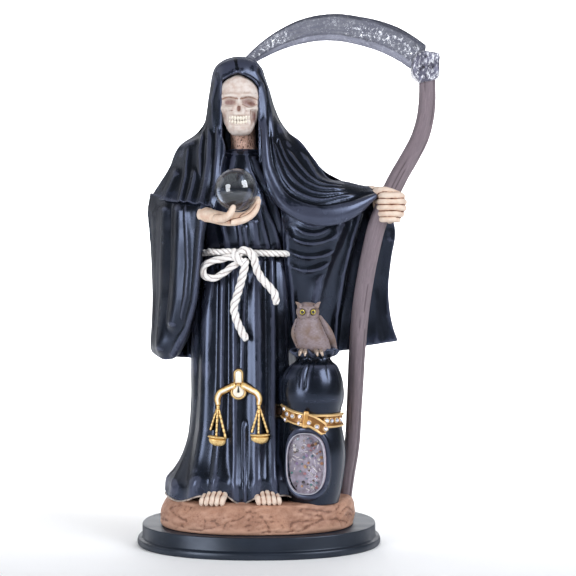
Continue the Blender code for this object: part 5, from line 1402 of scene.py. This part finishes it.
def build_scales():
    """The balance on the skirt."""
    gold = gold_paint("scales_gold_paint")
    plate = one_skin(piece("scales", scales_gold()), 0.26, 1, TRIANGLES["scales"])
    dress(store_relief(plate, 5, 30, 0.04, 0.35), gold)
    # A dark brown sheet behind the balance's edges: a painted shadow where it meets the skirt.
    shade = Paint("scales_contact_shadow_paint", Roughness=0.5)
    shade.set(Base_Color=shade.mix(shade.noise(400, 3), rgb("1c110b"), rgb("3a2414")))
    painted_shade = one_skin(piece("scales_contact_shadow", scales_shadow()), 0.35, 1, TRIANGLES["scales_contact_shadow"])
    dress(painted_shade, shade.material)
    # The dial is pale paint; the tab's panel and the strips along the arms are a painted highlight.
    pale = Paint("scales_dial_and_highlight_paint", Roughness=0.35)
    pale.set(Base_Color=pale.mix(pale.noise(500, 2), rgb("fbf6ec"), rgb("e8dcc4")))
    dress(piece("scales_dial_and_highlight", scales_white()), pale.material)
    ink = Paint("pointer_paint", Roughness=0.4)
    ink.set(Base_Color=ink.mix(ink.noise(500, 2), rgb("15130f"), rgb("2a2520")))
    x, level = HUB
    dress(piece("scales_pointer", [tube([on_skirt(x, level + 0.2, 4.0), on_skirt(x, level + 3.4, 3.9)],
        [0.85, 0.32], 12, 12)]), ink.material)


def lay_grain(thing, path):
    """Stores for each point its place round and along a rod's path, so that streaks follow the rod."""
    middle, _, _, sides, others = spine(path, 1.0, 300)
    step = np.concatenate([[0], np.cumsum(np.linalg.norm(np.diff(middle, axis=0), axis=1))])
    count = len(thing.data.vertices)
    points = np.empty(count * 3)
    thing.data.vertices.foreach_get("co", points)
    points = (points.reshape(-1, 3) - (0, 0, FOOT_LEVEL)) / UNIT
    nearest = np.array([np.argmin(((middle - p) ** 2).sum(axis=1)) for p in points])
    away = points - middle[nearest]
    laid = np.column_stack([(away * sides[nearest]).sum(axis=1), (away * others[nearest]).sum(axis=1),
        step[nearest]])
    layer = thing.data.attributes.new("grain", "FLOAT_VECTOR", "POINT")
    layer.data.foreach_set("vector", laid.ravel())
    return thing


def build_sack_trim():
    """The sack's gold belt with its stones, its keeper and loose end."""
    gold = gold_paint("belt_gold_paint", "f2cd92", "c08c4c", "7a4c22")
    strap = piece("belt", [belt(160)])
    dress(store_relief(strap, 4, 30, 0.03, 0.3), gold)
    line = along([(30.6, -51.9, 80.4), (36.5, -53.6, 79.0), (42.0, -54.0, 76.0), (48.0, -52.6, 71.6)], 40)
    profile = along([(-1.0, 1.2), (-0.98, -1.0), (-0.90, -1.35), (-0.78, -1.35), (-0.66, -0.85),
        (0.66, -0.85), (0.78, -1.35),
                     (0.90, -1.35), (0.98, -1.0), (1.0, 1.2)], 36)
    wide = own(BELT_HEIGHT) * 0.46
    rings = []
    for share, middle in zip(np.linspace(0, 1, len(line)), line, strict=True):
        tip = (1 - float(ease((share - 0.86) / 0.14)) * 0.55) * wide
        rings.append([middle + (0.42 * tip * up, out, tip * up) for up, out in profile])
    end = piece("belt_end", [stacked(rings)])
    dress(store_relief(end, 4, 30, 0.03, 0.3), gold)

    bpy.ops.mesh.primitive_cube_add(size=1, location=(0, 0, 0))
    keeper = bpy.context.active_object
    keeper.name = "belt_keeper"
    bpy.ops.object.mode_set(mode="EDIT")
    bpy.ops.mesh.select_all(action="SELECT")
    bpy.ops.transform.resize(value=(0.0034, 0.0036, 0.0118))
    bpy.ops.mesh.bevel(offset=0.0009, segments=4, affect="EDGES")
    bpy.ops.object.mode_set(mode="OBJECT")
    bpy.ops.object.shade_smooth()
    foot = Vector(place((33.2, -53.2, 79.8)))
    keeper.data.transform(Matrix.Translation(foot) @ Matrix.Rotation(math.radians(8), 4,
        "Y") @ Matrix.Rotation(math.radians(10), 4, "Z"))
    apply(keeper, "SUBSURF", levels=2, subdivision_type="SIMPLE")
    dress(store_relief(keeper, 4, 16, 0.05, 0.2), gold)

    clear = Paint("stone_glass", Roughness=0.03, Metallic=0.6, Specular_IOR_Level=0.9)
    facet = clear.cells(900, (1, 1, 1), "F1", "Color")
    clear.set(Base_Color=clear.mix(0.16, rgb("e6e6f4"), facet))
    for number in range(1, 14):
        low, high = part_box(f"rhinestone_{number:02d}")
        middle = (np.array(low) + np.array(high)) / 2
        middle = (middle - (0, 0, FOOT_LEVEL)) / UNIT
        _, shift = sack_radius(middle[2])
        out = middle - (SACK_MIDDLE[0] + shift, SACK_MIDDLE[1], middle[2])
        out /= np.linalg.norm(out)
        foot = middle - out * 1.1
        stone = piece(f"stone_{number:02d}", [stone_crown(foot, out, own(STONE_DIAMETER) / 2)], smooth=False)
        dress(stone, clear.material)
        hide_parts(f"rhinestone_{number:02d}")
        cup = piece(f"stone_cup_{number:02d}", [setting(foot, out, own(STONE_DIAMETER) / 2)])
        dress(store_relief(cup, 2, 8, 0.04, 0.2), gold)


def frame_of(out):
    """Two directions across, for a thing that faces out."""
    across = np.cross(out, (0, 0, 1))
    across /= np.linalg.norm(across)
    return across, np.cross(across, out)


def stone_crown(foot, out, radius):
    """A cut stone: a faceted girdle, a ring of kite facets and an eight-sided table."""
    across, up = frame_of(out)
    rings = []
    for rise, size, shift, count in ((0.0, 0.94, 0, 16), (0.32, 1.0, 0, 16), (0.78, 0.84, 0.5, 16),
        (1.18, 0.56, 0, 16)):
        turns = (np.arange(count) + shift) * 2 * math.pi / count
        spokes = np.outer(np.cos(turns), across) + np.outer(np.sin(turns), up)
        rings.append(foot + out * rise * radius * 0.74 + spokes * radius * size)
    return stacked(rings)


def setting(foot, out, radius):
    """The raised ring of gold paint round a stone."""
    across, up = frame_of(out)
    turns = np.linspace(0, 2 * math.pi, 28, endpoint=False)
    spokes = np.outer(np.cos(turns), across) + np.outer(np.sin(turns), up)
    steps = [(-1.6, 1.34), (-0.2, 1.34), (0.18, 1.24), (0.24, 1.10), (0.16, 1.01), (-0.4, 0.99), (-0.5, 0.2)]
    return stacked([foot + out * rise + spokes * radius * size for rise, size in steps])


OWL_FEET = [
    [(30.8, -42.6, 127.0), (29.8, -46.4, 126.2), (29.2, -48.2, 124.2)],
    [(33.4, -43.4, 127.0), (33.2, -47.2, 126.2), (33.0, -49.0, 124.2)],
    [(40.8, -43.4, 127.0), (41.4, -47.2, 126.2), (41.8, -49.0, 124.2)],
    [(43.4, -42.6, 127.0), (44.6, -46.4, 126.2), (45.4, -48.0, 124.2)],
]


def build_owl():
    """The owl, its feet and its eyes."""
    p = Paint("owl_paint", Specular_IOR_Level=0.35)
    ridge, hollow, crease = (p.grain(n) for n in ("ridge", "hollow", "crease"))
    barring = p.noise(520, 4, (1, 1, 2.4)).over(0.42, 0.6)
    cloud = p.noise(120, 3).over(0.4, 0.62)
    colour = p.mix(cloud, rgb("8c7e82"), rgb("7a665d"))
    colour = p.mix(barring * 0.45, colour, rgb("75635c"))
    # Painted highlight on ridges, then painted shade in hollows and creases.
    colour = p.mix(ridge.over(0.3, 1.0) * 0.35, colour, rgb("a8968a"))
    colour = p.mix((hollow.over(0.2, 1.0) * 0.5).most(crease.over(0.3, 1.0) * 0.8), colour, rgb("2b201b"))
    p.set(Base_Color=colour, Roughness=0.5 + 0.2 * cloud)
    p.set(Normal=p.bump(p.noise(900, 4), 0.0001, 0.7))
    bird = one_skin(piece("owl", owl()), 0.30, 4, TRIANGLES["owl"])
    dress(store_relief(bird, 5, 30, 0.05, 0.35), p.material)
    claws = piece("owl_feet", [tube(path, [1.6, 1.5, 0.7], 16, 12) for path in OWL_FEET])
    dress(store_relief(claws, 2, 8, 0.05, 0.2), gold_paint("owl_feet_paint", "b0a094", "8a7568", "4a382e"))
    iris = Paint("owl_iris_paint", Roughness=0.15, Coat_Weight=1.0)
    iris.set(Base_Color=iris.mix(iris.noise(900, 2), rgb("b5a23c"), rgb("d8c65a")))
    pupil = Paint("owl_pupil_paint", Roughness=0.08, Coat_Weight=1.0)
    pupil.set(Base_Color=pupil.mix(pupil.noise(900, 2), rgb("070707"), rgb("14110f")))
    eyes = [egg((x, -43.2, 154.3), (1.8, 1.3, 1.8), 20, 24) for x in (31.3, 38.9)]
    pupils = [egg((x, -44.1, 154.2), (1.15, 1.0, 1.15), 18, 20) for x in (31.3, 38.9)]
    dress(piece("owl_eyes", eyes), iris.material)
    dress(piece("owl_pupils", pupils), pupil.material)


CHARM_COLOURS = ["c98c5c", "e0d6d0", "f6f2ee", "a86f45", "4f9c98", "c77d80", "a88cc0", "3a2a30", "6f8ea0",
    "e0b0b4", "74503c", "d8a468"]
CHARM_COUNT = 64


def charms():
    """Kind, place, turn, size and colour of each bead, block and stick behind the window."""
    random = np.random.default_rng(19)
    rows = []
    while len(rows) < CHARM_COUNT:
        aside, up = random.uniform(-11, 11), random.uniform(-18.5, 18.5)
        if (abs(aside) / 12) ** 2.7 + (abs(up) / 19.5) ** 2.7 > 0.9:
            continue
        if any(math.hypot(aside - row[1], up - row[2]) < 2.0 for row in rows):
            continue
        kind = ("bead", "bead", "bead", "block", "stick")[random.integers(5)]
        size = random.uniform(0.6, 1.2)
        shape = {"bead": (size, size, size), "block": (size * 2.2, 1.6, size * 1.7),
            "stick": (size * 3.0, 0.5, 0.5)}[kind]
        colour = CHARM_COLOURS[random.integers(len(CHARM_COLOURS))] if kind != "stick" else "efe9e8"
        rows.append((kind, aside, up, random.uniform(-4.6, -3.2), random.uniform(0, 180), shape, colour))
    return rows


def build_window():
    """The clear dome in the sack, its lining, and the beads and charms sealed in it."""
    middle, across, out = window_frame()
    lining = Paint("window_lining_paint", Roughness=0.5)
    cloud = lining.noise(300, 4).over(0.35, 0.7)
    lining.set(Base_Color=lining.mix(cloud, rgb("c2b9c7"), rgb("9c8e99")))
    rings = [window_ring(0.25, d, s) for d, s in ((-own(WINDOW_DEPTH) - 0.6, 0.02),
        (-own(WINDOW_DEPTH) - 0.2, 0.98))]
    rings += [window_ring(0.25, d) for d in (-own(WINDOW_DEPTH) + 0.2, -1.0)]
    rings += [window_ring(-0.05, -1.0), window_ring(-0.05, -own(WINDOW_DEPTH) + 0.4, 1.0),
        window_ring(0, -own(WINDOW_DEPTH) + 0.3, 0.02)]
    dress(piece("window_lining", [stacked(rings)]), lining.material)
    bead = window_ring(0.15, 0.25, 1.0, 120)
    rim = Paint("window_rim_paint", Roughness=0.2)
    rim.set(Base_Color=rim.mix(rim.noise(200, 3), rgb("c9c8d2"), rgb("8b8c98")))
    loop = np.concatenate([bead, bead[:3]])
    dress(piece("window_rim", [tube(loop, 0.34, 260, 8)]), rim.material)

    shine = Paint("window_resin", Roughness=0.04, Transmission_Weight=1.0, IOR=1.30,
        Base_Color=(0.96, 0.95, 0.98, 1))
    steps = [(-own(WINDOW_DEPTH) + 0.45, 0.97), (-own(WINDOW_DEPTH) + 0.6, 0.985), (-1.6, 0.985)]
    crown = own(WINDOW_CROWN)
    steps += [(-1.4 + crown * math.sin(a), math.cos(a) * 0.985) for a in np.linspace(0.02, 1.50, 16)]
    dome = piece("window_dome", [stacked([window_ring(0, depth, share) for depth, share in steps])])
    dress(dome, shine.material)
    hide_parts("sack_window")

    tilt = Matrix.Rotation(WINDOW_TURN + math.pi / 2, 4, "Z")
    kinds = {}
    for number, (kind, aside, up, depth, turn, size, colour) in enumerate(charms(), 1):
        bpy.ops.object.select_all(action="DESELECT")
        if kind == "bead":
            bpy.ops.mesh.primitive_uv_sphere_add(segments=20, ring_count=12, radius=UNIT)
        elif kind == "stick":
            bpy.ops.mesh.primitive_cylinder_add(vertices=16, radius=0.5 * UNIT, depth=UNIT,
                rotation=(0, math.pi / 2, 0))
        else:
            bpy.ops.mesh.primitive_cube_add(size=UNIT)
        charm = bpy.context.active_object
        charm.name = f"charm_{number:02d}"
        bpy.ops.object.transform_apply(rotation=True)
        if kind == "block":
            bpy.ops.object.mode_set(mode="EDIT")
            bpy.ops.mesh.select_all(action="SELECT")
            bpy.ops.mesh.bevel(offset=0.16 * UNIT, segments=3, affect="EDGES")
            bpy.ops.object.mode_set(mode="OBJECT")
        bpy.ops.object.shade_smooth_by_angle(angle=math.radians(40))
        wide, deep, high = size if kind != "stick" else (size[0], size[1] * 1.6, size[2] * 1.6)
        spot = Vector(place(middle + across * aside + np.array((0, 0, up)) + out * depth))
        charm.data.transform(
            Matrix.Translation(spot) @ tilt @ Matrix.Rotation(math.radians(turn), 4,
                "Y") @ Matrix.Diagonal((wide, deep * 0.8, high, 1))
        )
        if colour not in kinds:
            mix = Paint(f"charm_{colour}_paint", Roughness=0.3)
            mix.set(Base_Color=mix.mix(mix.noise(600, 2) * 0.2, rgb(colour), rgb("efe6e2")))
            kinds[colour] = mix.material
        dress(charm, kinds[colour])


def build_ball():
    """The clear glass ball in the palm."""
    glass = Paint("ball_glass", Roughness=0.0, Transmission_Weight=1.0, IOR=1.50, Specular_IOR_Level=1.0,
        Coat_Weight=1.0, Coat_Roughness=0.0, Base_Color=(0.94, 0.98, 1.0, 1))
    bpy.ops.object.select_all(action="DESELECT")
    bpy.ops.mesh.primitive_uv_sphere_add(segments=80, ring_count=48, radius=BALL_DIAMETER / 2)
    ball = bpy.context.active_object
    ball.name = "glass_ball"
    ball.data.transform(Matrix.Translation(Vector(place((-15.0, -51.0, 224.6)))
        + Vector((0, 0, BALL_DIAMETER / 2))))
    bpy.ops.object.shade_smooth()
    dress(ball, glass.material)
    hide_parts("crystal_ball")


BLADE_OUTER = [
    (120.2, -14.6, 345.6), (113.4, -12.5, 351.0), (102.5, -8.5, 358.4), (88.3, -3.5, 364.6),
    (74, 3, 368.8), (59.5, 9, 371.8),
    (44.9, 14, 371.9), (30.1, 19.5, 369.2), (15.2, 25, 363.0), (4, 29, 356.2), (-7.4, 32.5, 346.8),
    (-18, 36, 335.0),
]
BLADE_INNER = [
    (117, -14, 327.0), (110.2, -11.5, 328.6), (102.5, -8.5, 334), (88.3, -3.5, 342), (74, 3, 347.6),
    (59.5, 9, 351.5),
    (44.9, 14, 352.6), (30.1, 19.5, 351.0), (15.2, 25, 347.2), (2, 29.2, 341.6), (-8, 32.5, 337.0),
    (-18.6, 36, 333.6),
]
BLADE_SECTION = [(0.0, 0.20), (0.02, 0.55), (0.06, 0.85), (0.14, 1.0), (0.34, 0.98), (0.55, 0.82),
    (0.72, 0.66), (0.78, 0.50), (0.90, 0.32),
                 (0.97, 0.16), (1.0, 0.06)]
SOCKET_OUTLINE = [
    (-0.85, 0.97), (-0.24, 1.0), (0.99, 0.95), (1.12, 0.83), (1.04, 0.20), (0.60, 0.10), (-0.68, 0.0),
    (-1.29, 0.26),
    (-1.39, 0.45), (-1.29, 0.76),
]


def blade(down):
    """The curved blade: a thick flat back that drops to a bevel along its inner edge."""
    outer, inner = along(BLADE_OUTER, down), along(BLADE_INNER, down)
    share = np.linspace(0, 1, 60)
    thickness = np.interp(share, *zip(*BLADE_SECTION, strict=True))
    middle = outer[:, None, :] + (inner - outer)[:, None, :] * share[None, :, None]
    grow = np.interp(np.linspace(0, 1, down), [0, 0.75, 1], [1.0, 0.9, 0.45])
    half = own(BLADE_THICKNESS) / 2 * thickness[None, :] * grow[:, None]
    half = half + 0.16 * rough(middle, 16, 31) * (share[None, :] > 0.03) * (share[None, :] < 0.97)
    face = np.cross(outer[-1] - outer[0], (0, 0, 1))
    face = face / np.linalg.norm(face)
    face = face if face[1] < 0 else -face
    return between(middle + face * half[..., None], middle - face * half[..., None]), share


def build_scythe():
    """The scythe's gnarled handle, its blade and the rough block that joins them."""
    path = np.array(HANDLE)
    radii = np.array([handle_radius(share) for share in np.linspace(0, 1, len(HANDLE))])
    points, faces = tube(path, radii, 240, 32, domed=False)
    middle, _, _, _, _ = spine(path, radii, 240)
    shaft = piece("handle", [(points, faces)])
    lay_grain(shaft, path)
    laid = np.empty(len(points) * 3)
    shaft.data.attributes["grain"].data.foreach_get("vector", laid)
    laid = laid.reshape(-1, 3)
    angle = np.arctan2(laid[:, 1], laid[:, 0])
    strands = np.column_stack([np.cos(angle) * 5, np.sin(angle) * 5, laid[:, 2] * 0.05])
    lump = 0.34 * rough(strands, 9.0, 41, 2) + 0.30 * rough(strands * (2.6, 2.6, 1), 9.0, 43, 2)
    groove = np.exp(-((rough(strands * (1.7, 1.7, 0.6), 9.0, 47, 2) / 0.16) ** 2))
    lump = (lump - 0.30 * groove) * fade(laid[:, 2], 2, laid[:, 2].max() - 2, 2)
    nearest = np.array([np.argmin(((middle - p) ** 2).sum(axis=1)) for p in points])
    away = points - middle[nearest]
    away /= np.linalg.norm(away, axis=1, keepdims=True)
    shaft.data.vertices.foreach_set("co", place(points + away * lump[:, None]).ravel())
    shaft.data.update()
    p = Paint("handle_paint", Specular_IOR_Level=0.4)
    ridge, hollow, edge, crease = (p.grain(n) for n in ("ridge", "hollow", "edge", "crease"))
    streak = p.noise(1.0, 4, (0.9, 0.9, 0.05), "grain").over(0.38, 0.66)
    fine = p.noise(1.0, 5, (3.4, 3.4, 0.16), "grain", roughness=0.7).over(0.42, 0.58)
    colour = p.mix(streak, rgb("4c3b3c"), rgb("705f64"))
    colour = p.mix(fine * 0.9, colour, rgb("2c2021"))
    # Painted highlight on ridges, then painted shade in hollows and creases.
    colour = p.mix(ridge.over(0.2, 1.0) * 0.5, colour, rgb("a3949c"))
    colour = p.mix((hollow.over(0.2, 1.0) * 0.5).most(crease.over(0.3, 1.0) * 0.6), colour, rgb("2f2322"))
    p.set(Base_Color=colour, Roughness=0.45 + 0.2 * fine)
    p.set(Normal=p.bump(fine, 0.00025, 0.7))
    dress(store_relief(shaft, 3, 24, 0.05, 0.3), p.material)
    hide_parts("scythe_handle")

    shell, share = blade(150)
    steel = piece("blade", [shell])
    layer = steel.data.attributes.new("share", "FLOAT", "POINT")
    layer.data.foreach_set("value", np.tile(share, 2 * 150))
    lay_grain(steel, (np.array(BLADE_OUTER) + np.array(BLADE_INNER)) / 2)
    b = Paint("blade_paint", Metallic=0.25, Specular_IOR_Level=0.5)
    across, crease = b.grain("share"), b.grain("crease")
    streak = b.noise(1.0, 5, (0.7, 0.7, 0.07), "grain").over(0.35, 0.68)
    fleck = b.noise(430, 5, (1, 1, 1), distortion=0.6, roughness=0.85).over(0.54, 0.60)
    patch = b.noise(42, 3).over(0.42, 0.58)
    grey = b.mix(streak, rgb("43444e"), rgb("5b5c6a"))
    bevel = across.over(0.74, 0.80)
    colour = b.mix(bevel * 0.7, grey, b.mix(streak, rgb("6a6b7a"), rgb("8a8b99")))
    band = across.over(0.12, 0.40) * (1 - across.over(0.60, 0.82))
    colour = b.mix(fleck * (0.12 + 0.88 * band * patch), colour, rgb("f2f3f8"))
    colour = b.mix((1 - across.over(0.0, 0.05)) * 0.5, colour, rgb("34353f"))
    # Painted shade in the creases.
    colour = b.mix(crease.over(0.3, 1.0) * 0.6, colour, rgb("33353f"))
    b.set(Base_Color=colour, Roughness=0.34 + 0.22 * streak)
    b.set(Normal=b.bump(b.noise(420, 4), 0.00014, 0.7))
    dress(store_relief(steel, 5, 30, 0.05, 0.35), b.material)
    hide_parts("scythe_blade")

    top = np.array(HANDLE[-1])
    radius = handle_radius(1) + own(SOCKET_WALL + GAP)
    length, deep = own(SOCKET_LENGTH), own(SOCKET_DEPTH) / 2
    foot = top[2] + own(SOCKET_CAP) - length
    corners = np.array([(top[0] + radius * aside, 0.0, foot + length * up) for aside, up in SOCKET_OUTLINE])
    outline = np.concatenate([np.linspace(a, b2, 14, endpoint=False)
        for a, b2 in zip(corners, np.roll(corners, -1, axis=0), strict=True)])
    middle = outline.mean(axis=0)
    sections = [(-1.0, 0.2), (-1.0, 0.55), (-0.99, 0.80), (-0.9, 0.93), (-0.74, 1.0), (-0.4, 1.0),
        (0, 1.0), (0.4, 1.0), (0.74, 1.0), (0.9, 0.93),
                (0.99, 0.80), (1.0, 0.55), (1.0, 0.2)]
    rings = [middle + (outline - middle) * size + (0, top[1] + deep * share2, 0) for share2, size in sections]
    block = one_skin(piece("socket", [stacked(rings)]), 0.42, 2, TRIANGLES["socket"])
    count = len(block.data.vertices)
    points = np.empty(count * 3)
    block.data.vertices.foreach_get("co", points)
    out = np.empty(count * 3)
    block.data.vertex_normals.foreach_get("vector", out)
    points, out = points.reshape(-1, 3), out.reshape(-1, 3)
    lump = 0.50 * rough(points / UNIT, 17, 51, 2) + 0.22 * rough(points / UNIT, 6, 53, 2) - 0.2
    block.data.vertices.foreach_set("co", (points + out * lump[:, None] * UNIT).ravel())
    block.data.update()
    s = Paint("socket_paint", Metallic=0.35, Specular_IOR_Level=0.5)
    ridge, edge, crease, hollow = (s.grain(n) for n in ("ridge", "edge", "crease", "hollow"))
    cloud = s.noise(160, 4).over(0.35, 0.65)
    stroke = s.node("Mapping", {}, {0: s.spot(), "Rotation": (0, 0.7, 0), "Scale": (1, 1, 0.45)})
    fleck = s.node("TexNoise", {}, {"Vector": stroke, "Scale": 520, "Detail": 4, "Roughness": 0.75},
        "Fac").over(0.52, 0.60)
    colour = s.mix(cloud, rgb("52515f"), rgb("747386"))
    # Painted highlight on ridges and edges, together with real pale flecks in strokes; then painted shade in
    # hollows and creases.
    colour = s.mix((ridge.over(0.4, 1.0) * 0.35).most(edge.over(0.5, 1.0) * 0.4).most(fleck * 0.95),
        colour, rgb("f2f2f7"))
    colour = s.mix((hollow.over(0.1, 0.9) * 0.6).most(crease.over(0.2, 0.9) * 0.8), colour, rgb("2a2526"))
    s.set(Base_Color=colour, Roughness=0.32 + 0.25 * cloud)
    s.set(Normal=s.bump(s.noise(700, 4), 0.0002, 0.8))
    dress(store_relief(block, 5, 30, 0.06, 0.4), s.material)


def build_base():
    """The earth under the figure and the moulded oval board."""
    p = Paint("earth_paint", Specular_IOR_Level=0.35)
    ridge, hollow, crease = (p.grain(n) for n in ("ridge", "hollow", "crease"))
    cloud = p.noise(46, 4).over(0.35, 0.68)
    grit = p.noise(900, 5, roughness=0.75).over(0.42, 0.62)
    colour = p.mix(cloud, rgb("98705c"), rgb("b2866e"))
    colour = p.mix(grit * 0.38, colour, rgb("7c5647"))
    # Painted highlight on ridges, then painted shade in hollows and creases.
    colour = p.mix(ridge.over(0.15, 1.0) * 0.5, colour, rgb("cfa68f"))
    colour = p.mix((hollow.over(0.15, 1.0) * 0.5).most(crease.over(0.25, 1.0) * 0.62), colour, rgb("5c3b30"))
    p.set(Base_Color=colour, Roughness=0.5 + 0.25 * grit)
    p.set(Normal=p.bump(p.noise(380, 5), 0.0003, 0.7))
    earth = one_skin(piece("ground", [ground(560, 90)]), 0.80, 1, TRIANGLES["ground"])
    dress(store_relief(earth, 5, 40, 0.06, 0.5), p.material)

    rows = np.array(GROUND)
    wide = (rows[:, 2].max() - rows[:, 1].min()) / 2 * UNIT + BOARD_LEDGE
    deep = (rows[:, 4].max() - rows[:, 3].min()) / 2 * UNIT + BOARD_LEDGE * 0.78
    foot, reach, top = BOARD_FOOT_HEIGHT, BOARD_FOOT_REACH, BOARD_THICKNESS
    bead = [(foot * (0.5 - 0.5 * math.cos(a)), reach * (0.72 + 0.28 * math.sin(a)))
        for a in np.linspace(0, math.pi * 0.93, 16)]
    profile = [(0.0, -0.08), *bead, (foot * 1.02, 0.0007), (foot * 1.10, 0.0002), (foot * 1.2, 0.0),
        (top - 0.0010, 0.0),
               (top - 0.0005, -0.00012), (top - 0.00015, -0.0004), (top, -0.0009), (top, -0.05)]
    rings = [oval(0, wide + out, -(deep + out), deep + out, level, 240, 2.2) for level, out in profile]
    points, faces = stacked(rings)
    slab_mesh = bpy.data.meshes.new("board")
    slab_mesh.from_pydata(points.tolist(), [], faces)
    plank = bpy.data.objects.new("board", slab_mesh)
    bpy.context.scene.collection.objects.link(plank)
    alone(plank)
    bpy.ops.object.mode_set(mode="EDIT")
    bpy.ops.mesh.select_all(action="SELECT")
    bpy.ops.mesh.normals_make_consistent(inside=False)
    bpy.ops.object.mode_set(mode="OBJECT")
    bpy.ops.object.shade_smooth_by_angle(angle=math.radians(35))
    d = Paint("board_lacquer", Specular_IOR_Level=0.5, Specular_Tint=(0.75, 0.83, 1.0, 1))
    cloud = d.noise(30, 3).over(0.35, 0.7)
    grain = d.noise(60, 4, (0.12, 1, 1)).over(0.4, 0.65)
    colour = d.mix(cloud, rgb("1e242d"), rgb("282e39"))
    facing = d.node("LayerWeight", {}, {"Blend": 0.5}, "Facing")
    d.set(Base_Color=d.mix(grain * 0.3, colour, rgb("0d0f13")),
        Roughness=0.30 + 0.08 * grain + 0.25 * facing.over(0.5, 0.95))
    d.set(Normal=d.bump(grain, 0.00004, 0.4))
    dress(plank, d.material)
    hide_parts("wood_base")


# Light, floor and camera

# The photo's camera: where it stands and what it looks at, in metres, and its lens in the photo's pixels
CAMERA_PLACE = (0.0212, -1.061, 0.2047)
CAMERA_AIM = (0.0212, 0, 0.1857)
PHOTO_PIXELS = 576
FOCAL_PIXELS = 1451
SENSOR_WIDTH = 36


def soft_light(name, spot, aim, size, power, colour=(1, 1, 1)):
    """A square soft box that faces a point."""
    data = bpy.data.lights.new(name, "AREA")
    data.shape = "RECTANGLE"
    data.size, data.size_y = size
    data.energy = power
    data.color = colour
    light = bpy.data.objects.new(name, data)
    light.location = spot
    light.rotation_euler = (Vector(aim) - Vector(spot)).to_track_quat("-Z", "Y").to_euler()
    bpy.context.scene.collection.objects.link(light)


def set_studio():
    """A white floor that curves up behind, dark outside the photo's view, soft boxes and the camera."""
    bend = [(0.75 + 0.5 * math.sin(a), 0.5 - 0.5 * math.cos(a)) for a in np.linspace(0, math.pi / 2, 24)]
    curve = [(-2.4, 0.0), (0.4, 0.0), *bend, (1.25, 2.4)]
    points = [(x, y, z) for y, z in curve for x in (-2.4, 2.4)]
    faces = [(2 * i, 2 * i + 1, 2 * i + 3, 2 * i + 2) for i in range(len(curve) - 1)]
    mesh = bpy.data.meshes.new("floor")
    mesh.from_pydata(points, [], faces)
    mesh.shade_smooth()
    floor = bpy.data.objects.new("floor", mesh)
    bpy.context.scene.collection.objects.link(floor)
    paper = Paint("floor_paper", Roughness=0.85, Specular_IOR_Level=0.2)
    aside = paper.node("SeparateXYZ", {}, {0: paper.spot()})
    level = paper.node("SeparateXYZ", {}, {0: paper.spot()}, "Z")
    # The paper is painted dark at the sides and high up the curve, as painted shade where the studio beyond
    # the lights would be dark.
    far = (aside.maths("ABSOLUTE").over(0.50, 0.66) * level.over(0.02, 0.20)).most(level.over(0.72, 0.90))
    white = paper.mix(paper.noise(2, 2), (0.95, 0.95, 0.95), (0.97, 0.97, 0.97))
    paper.set(Base_Color=paper.mix(far, white, (0.20, 0.20, 0.21)))
    floor.data.materials.append(paper.material)

    world = bpy.data.worlds.new("studio")
    bpy.context.scene.world = world
    world.use_nodes = True
    world.node_tree.nodes["Background"].inputs["Color"].default_value = (1, 1, 1, 1)
    world.node_tree.nodes["Background"].inputs["Strength"].default_value = 0.10
    soft_light("key", (-0.90, -1.04, 0.38), (0, 0, 0.20), (0.60, 0.95), 15, (0.92, 0.95, 1.0))
    soft_light("right", (0.96, -0.74, 0.88), (0, 0, 0.20), (0.70, 0.85), 17, (0.92, 0.95, 1.0))
    soft_light("side", (-1.15, 0.25, 0.65), (0, 0, 0.30), (0.9, 1.0), 1.8)
    soft_light("wall", (0.0, 0.50, 1.30), (0, 1.394, 0.853), (1.1, 0.5), 50)

    data = bpy.data.cameras.new("camera")
    data.sensor_width = SENSOR_WIDTH
    data.lens = FOCAL_PIXELS / PHOTO_PIXELS * SENSOR_WIDTH
    data.clip_start, data.clip_end = 0.05, 20
    camera = bpy.data.objects.new("camera", data)
    camera.location = CAMERA_PLACE
    aim = Vector(CAMERA_AIM) - camera.location
    camera.rotation_euler = aim.to_track_quat("-Z", "Y").to_euler()
    bpy.context.scene.collection.objects.link(camera)
    bpy.context.scene.camera = camera
    bpy.context.scene.view_settings.view_transform = "Standard"


build_cloth()
build_bone()
build_rope()
build_scales()
build_sack_trim()
build_owl()
build_window()
build_ball()
build_scythe()
build_base()
set_studio()
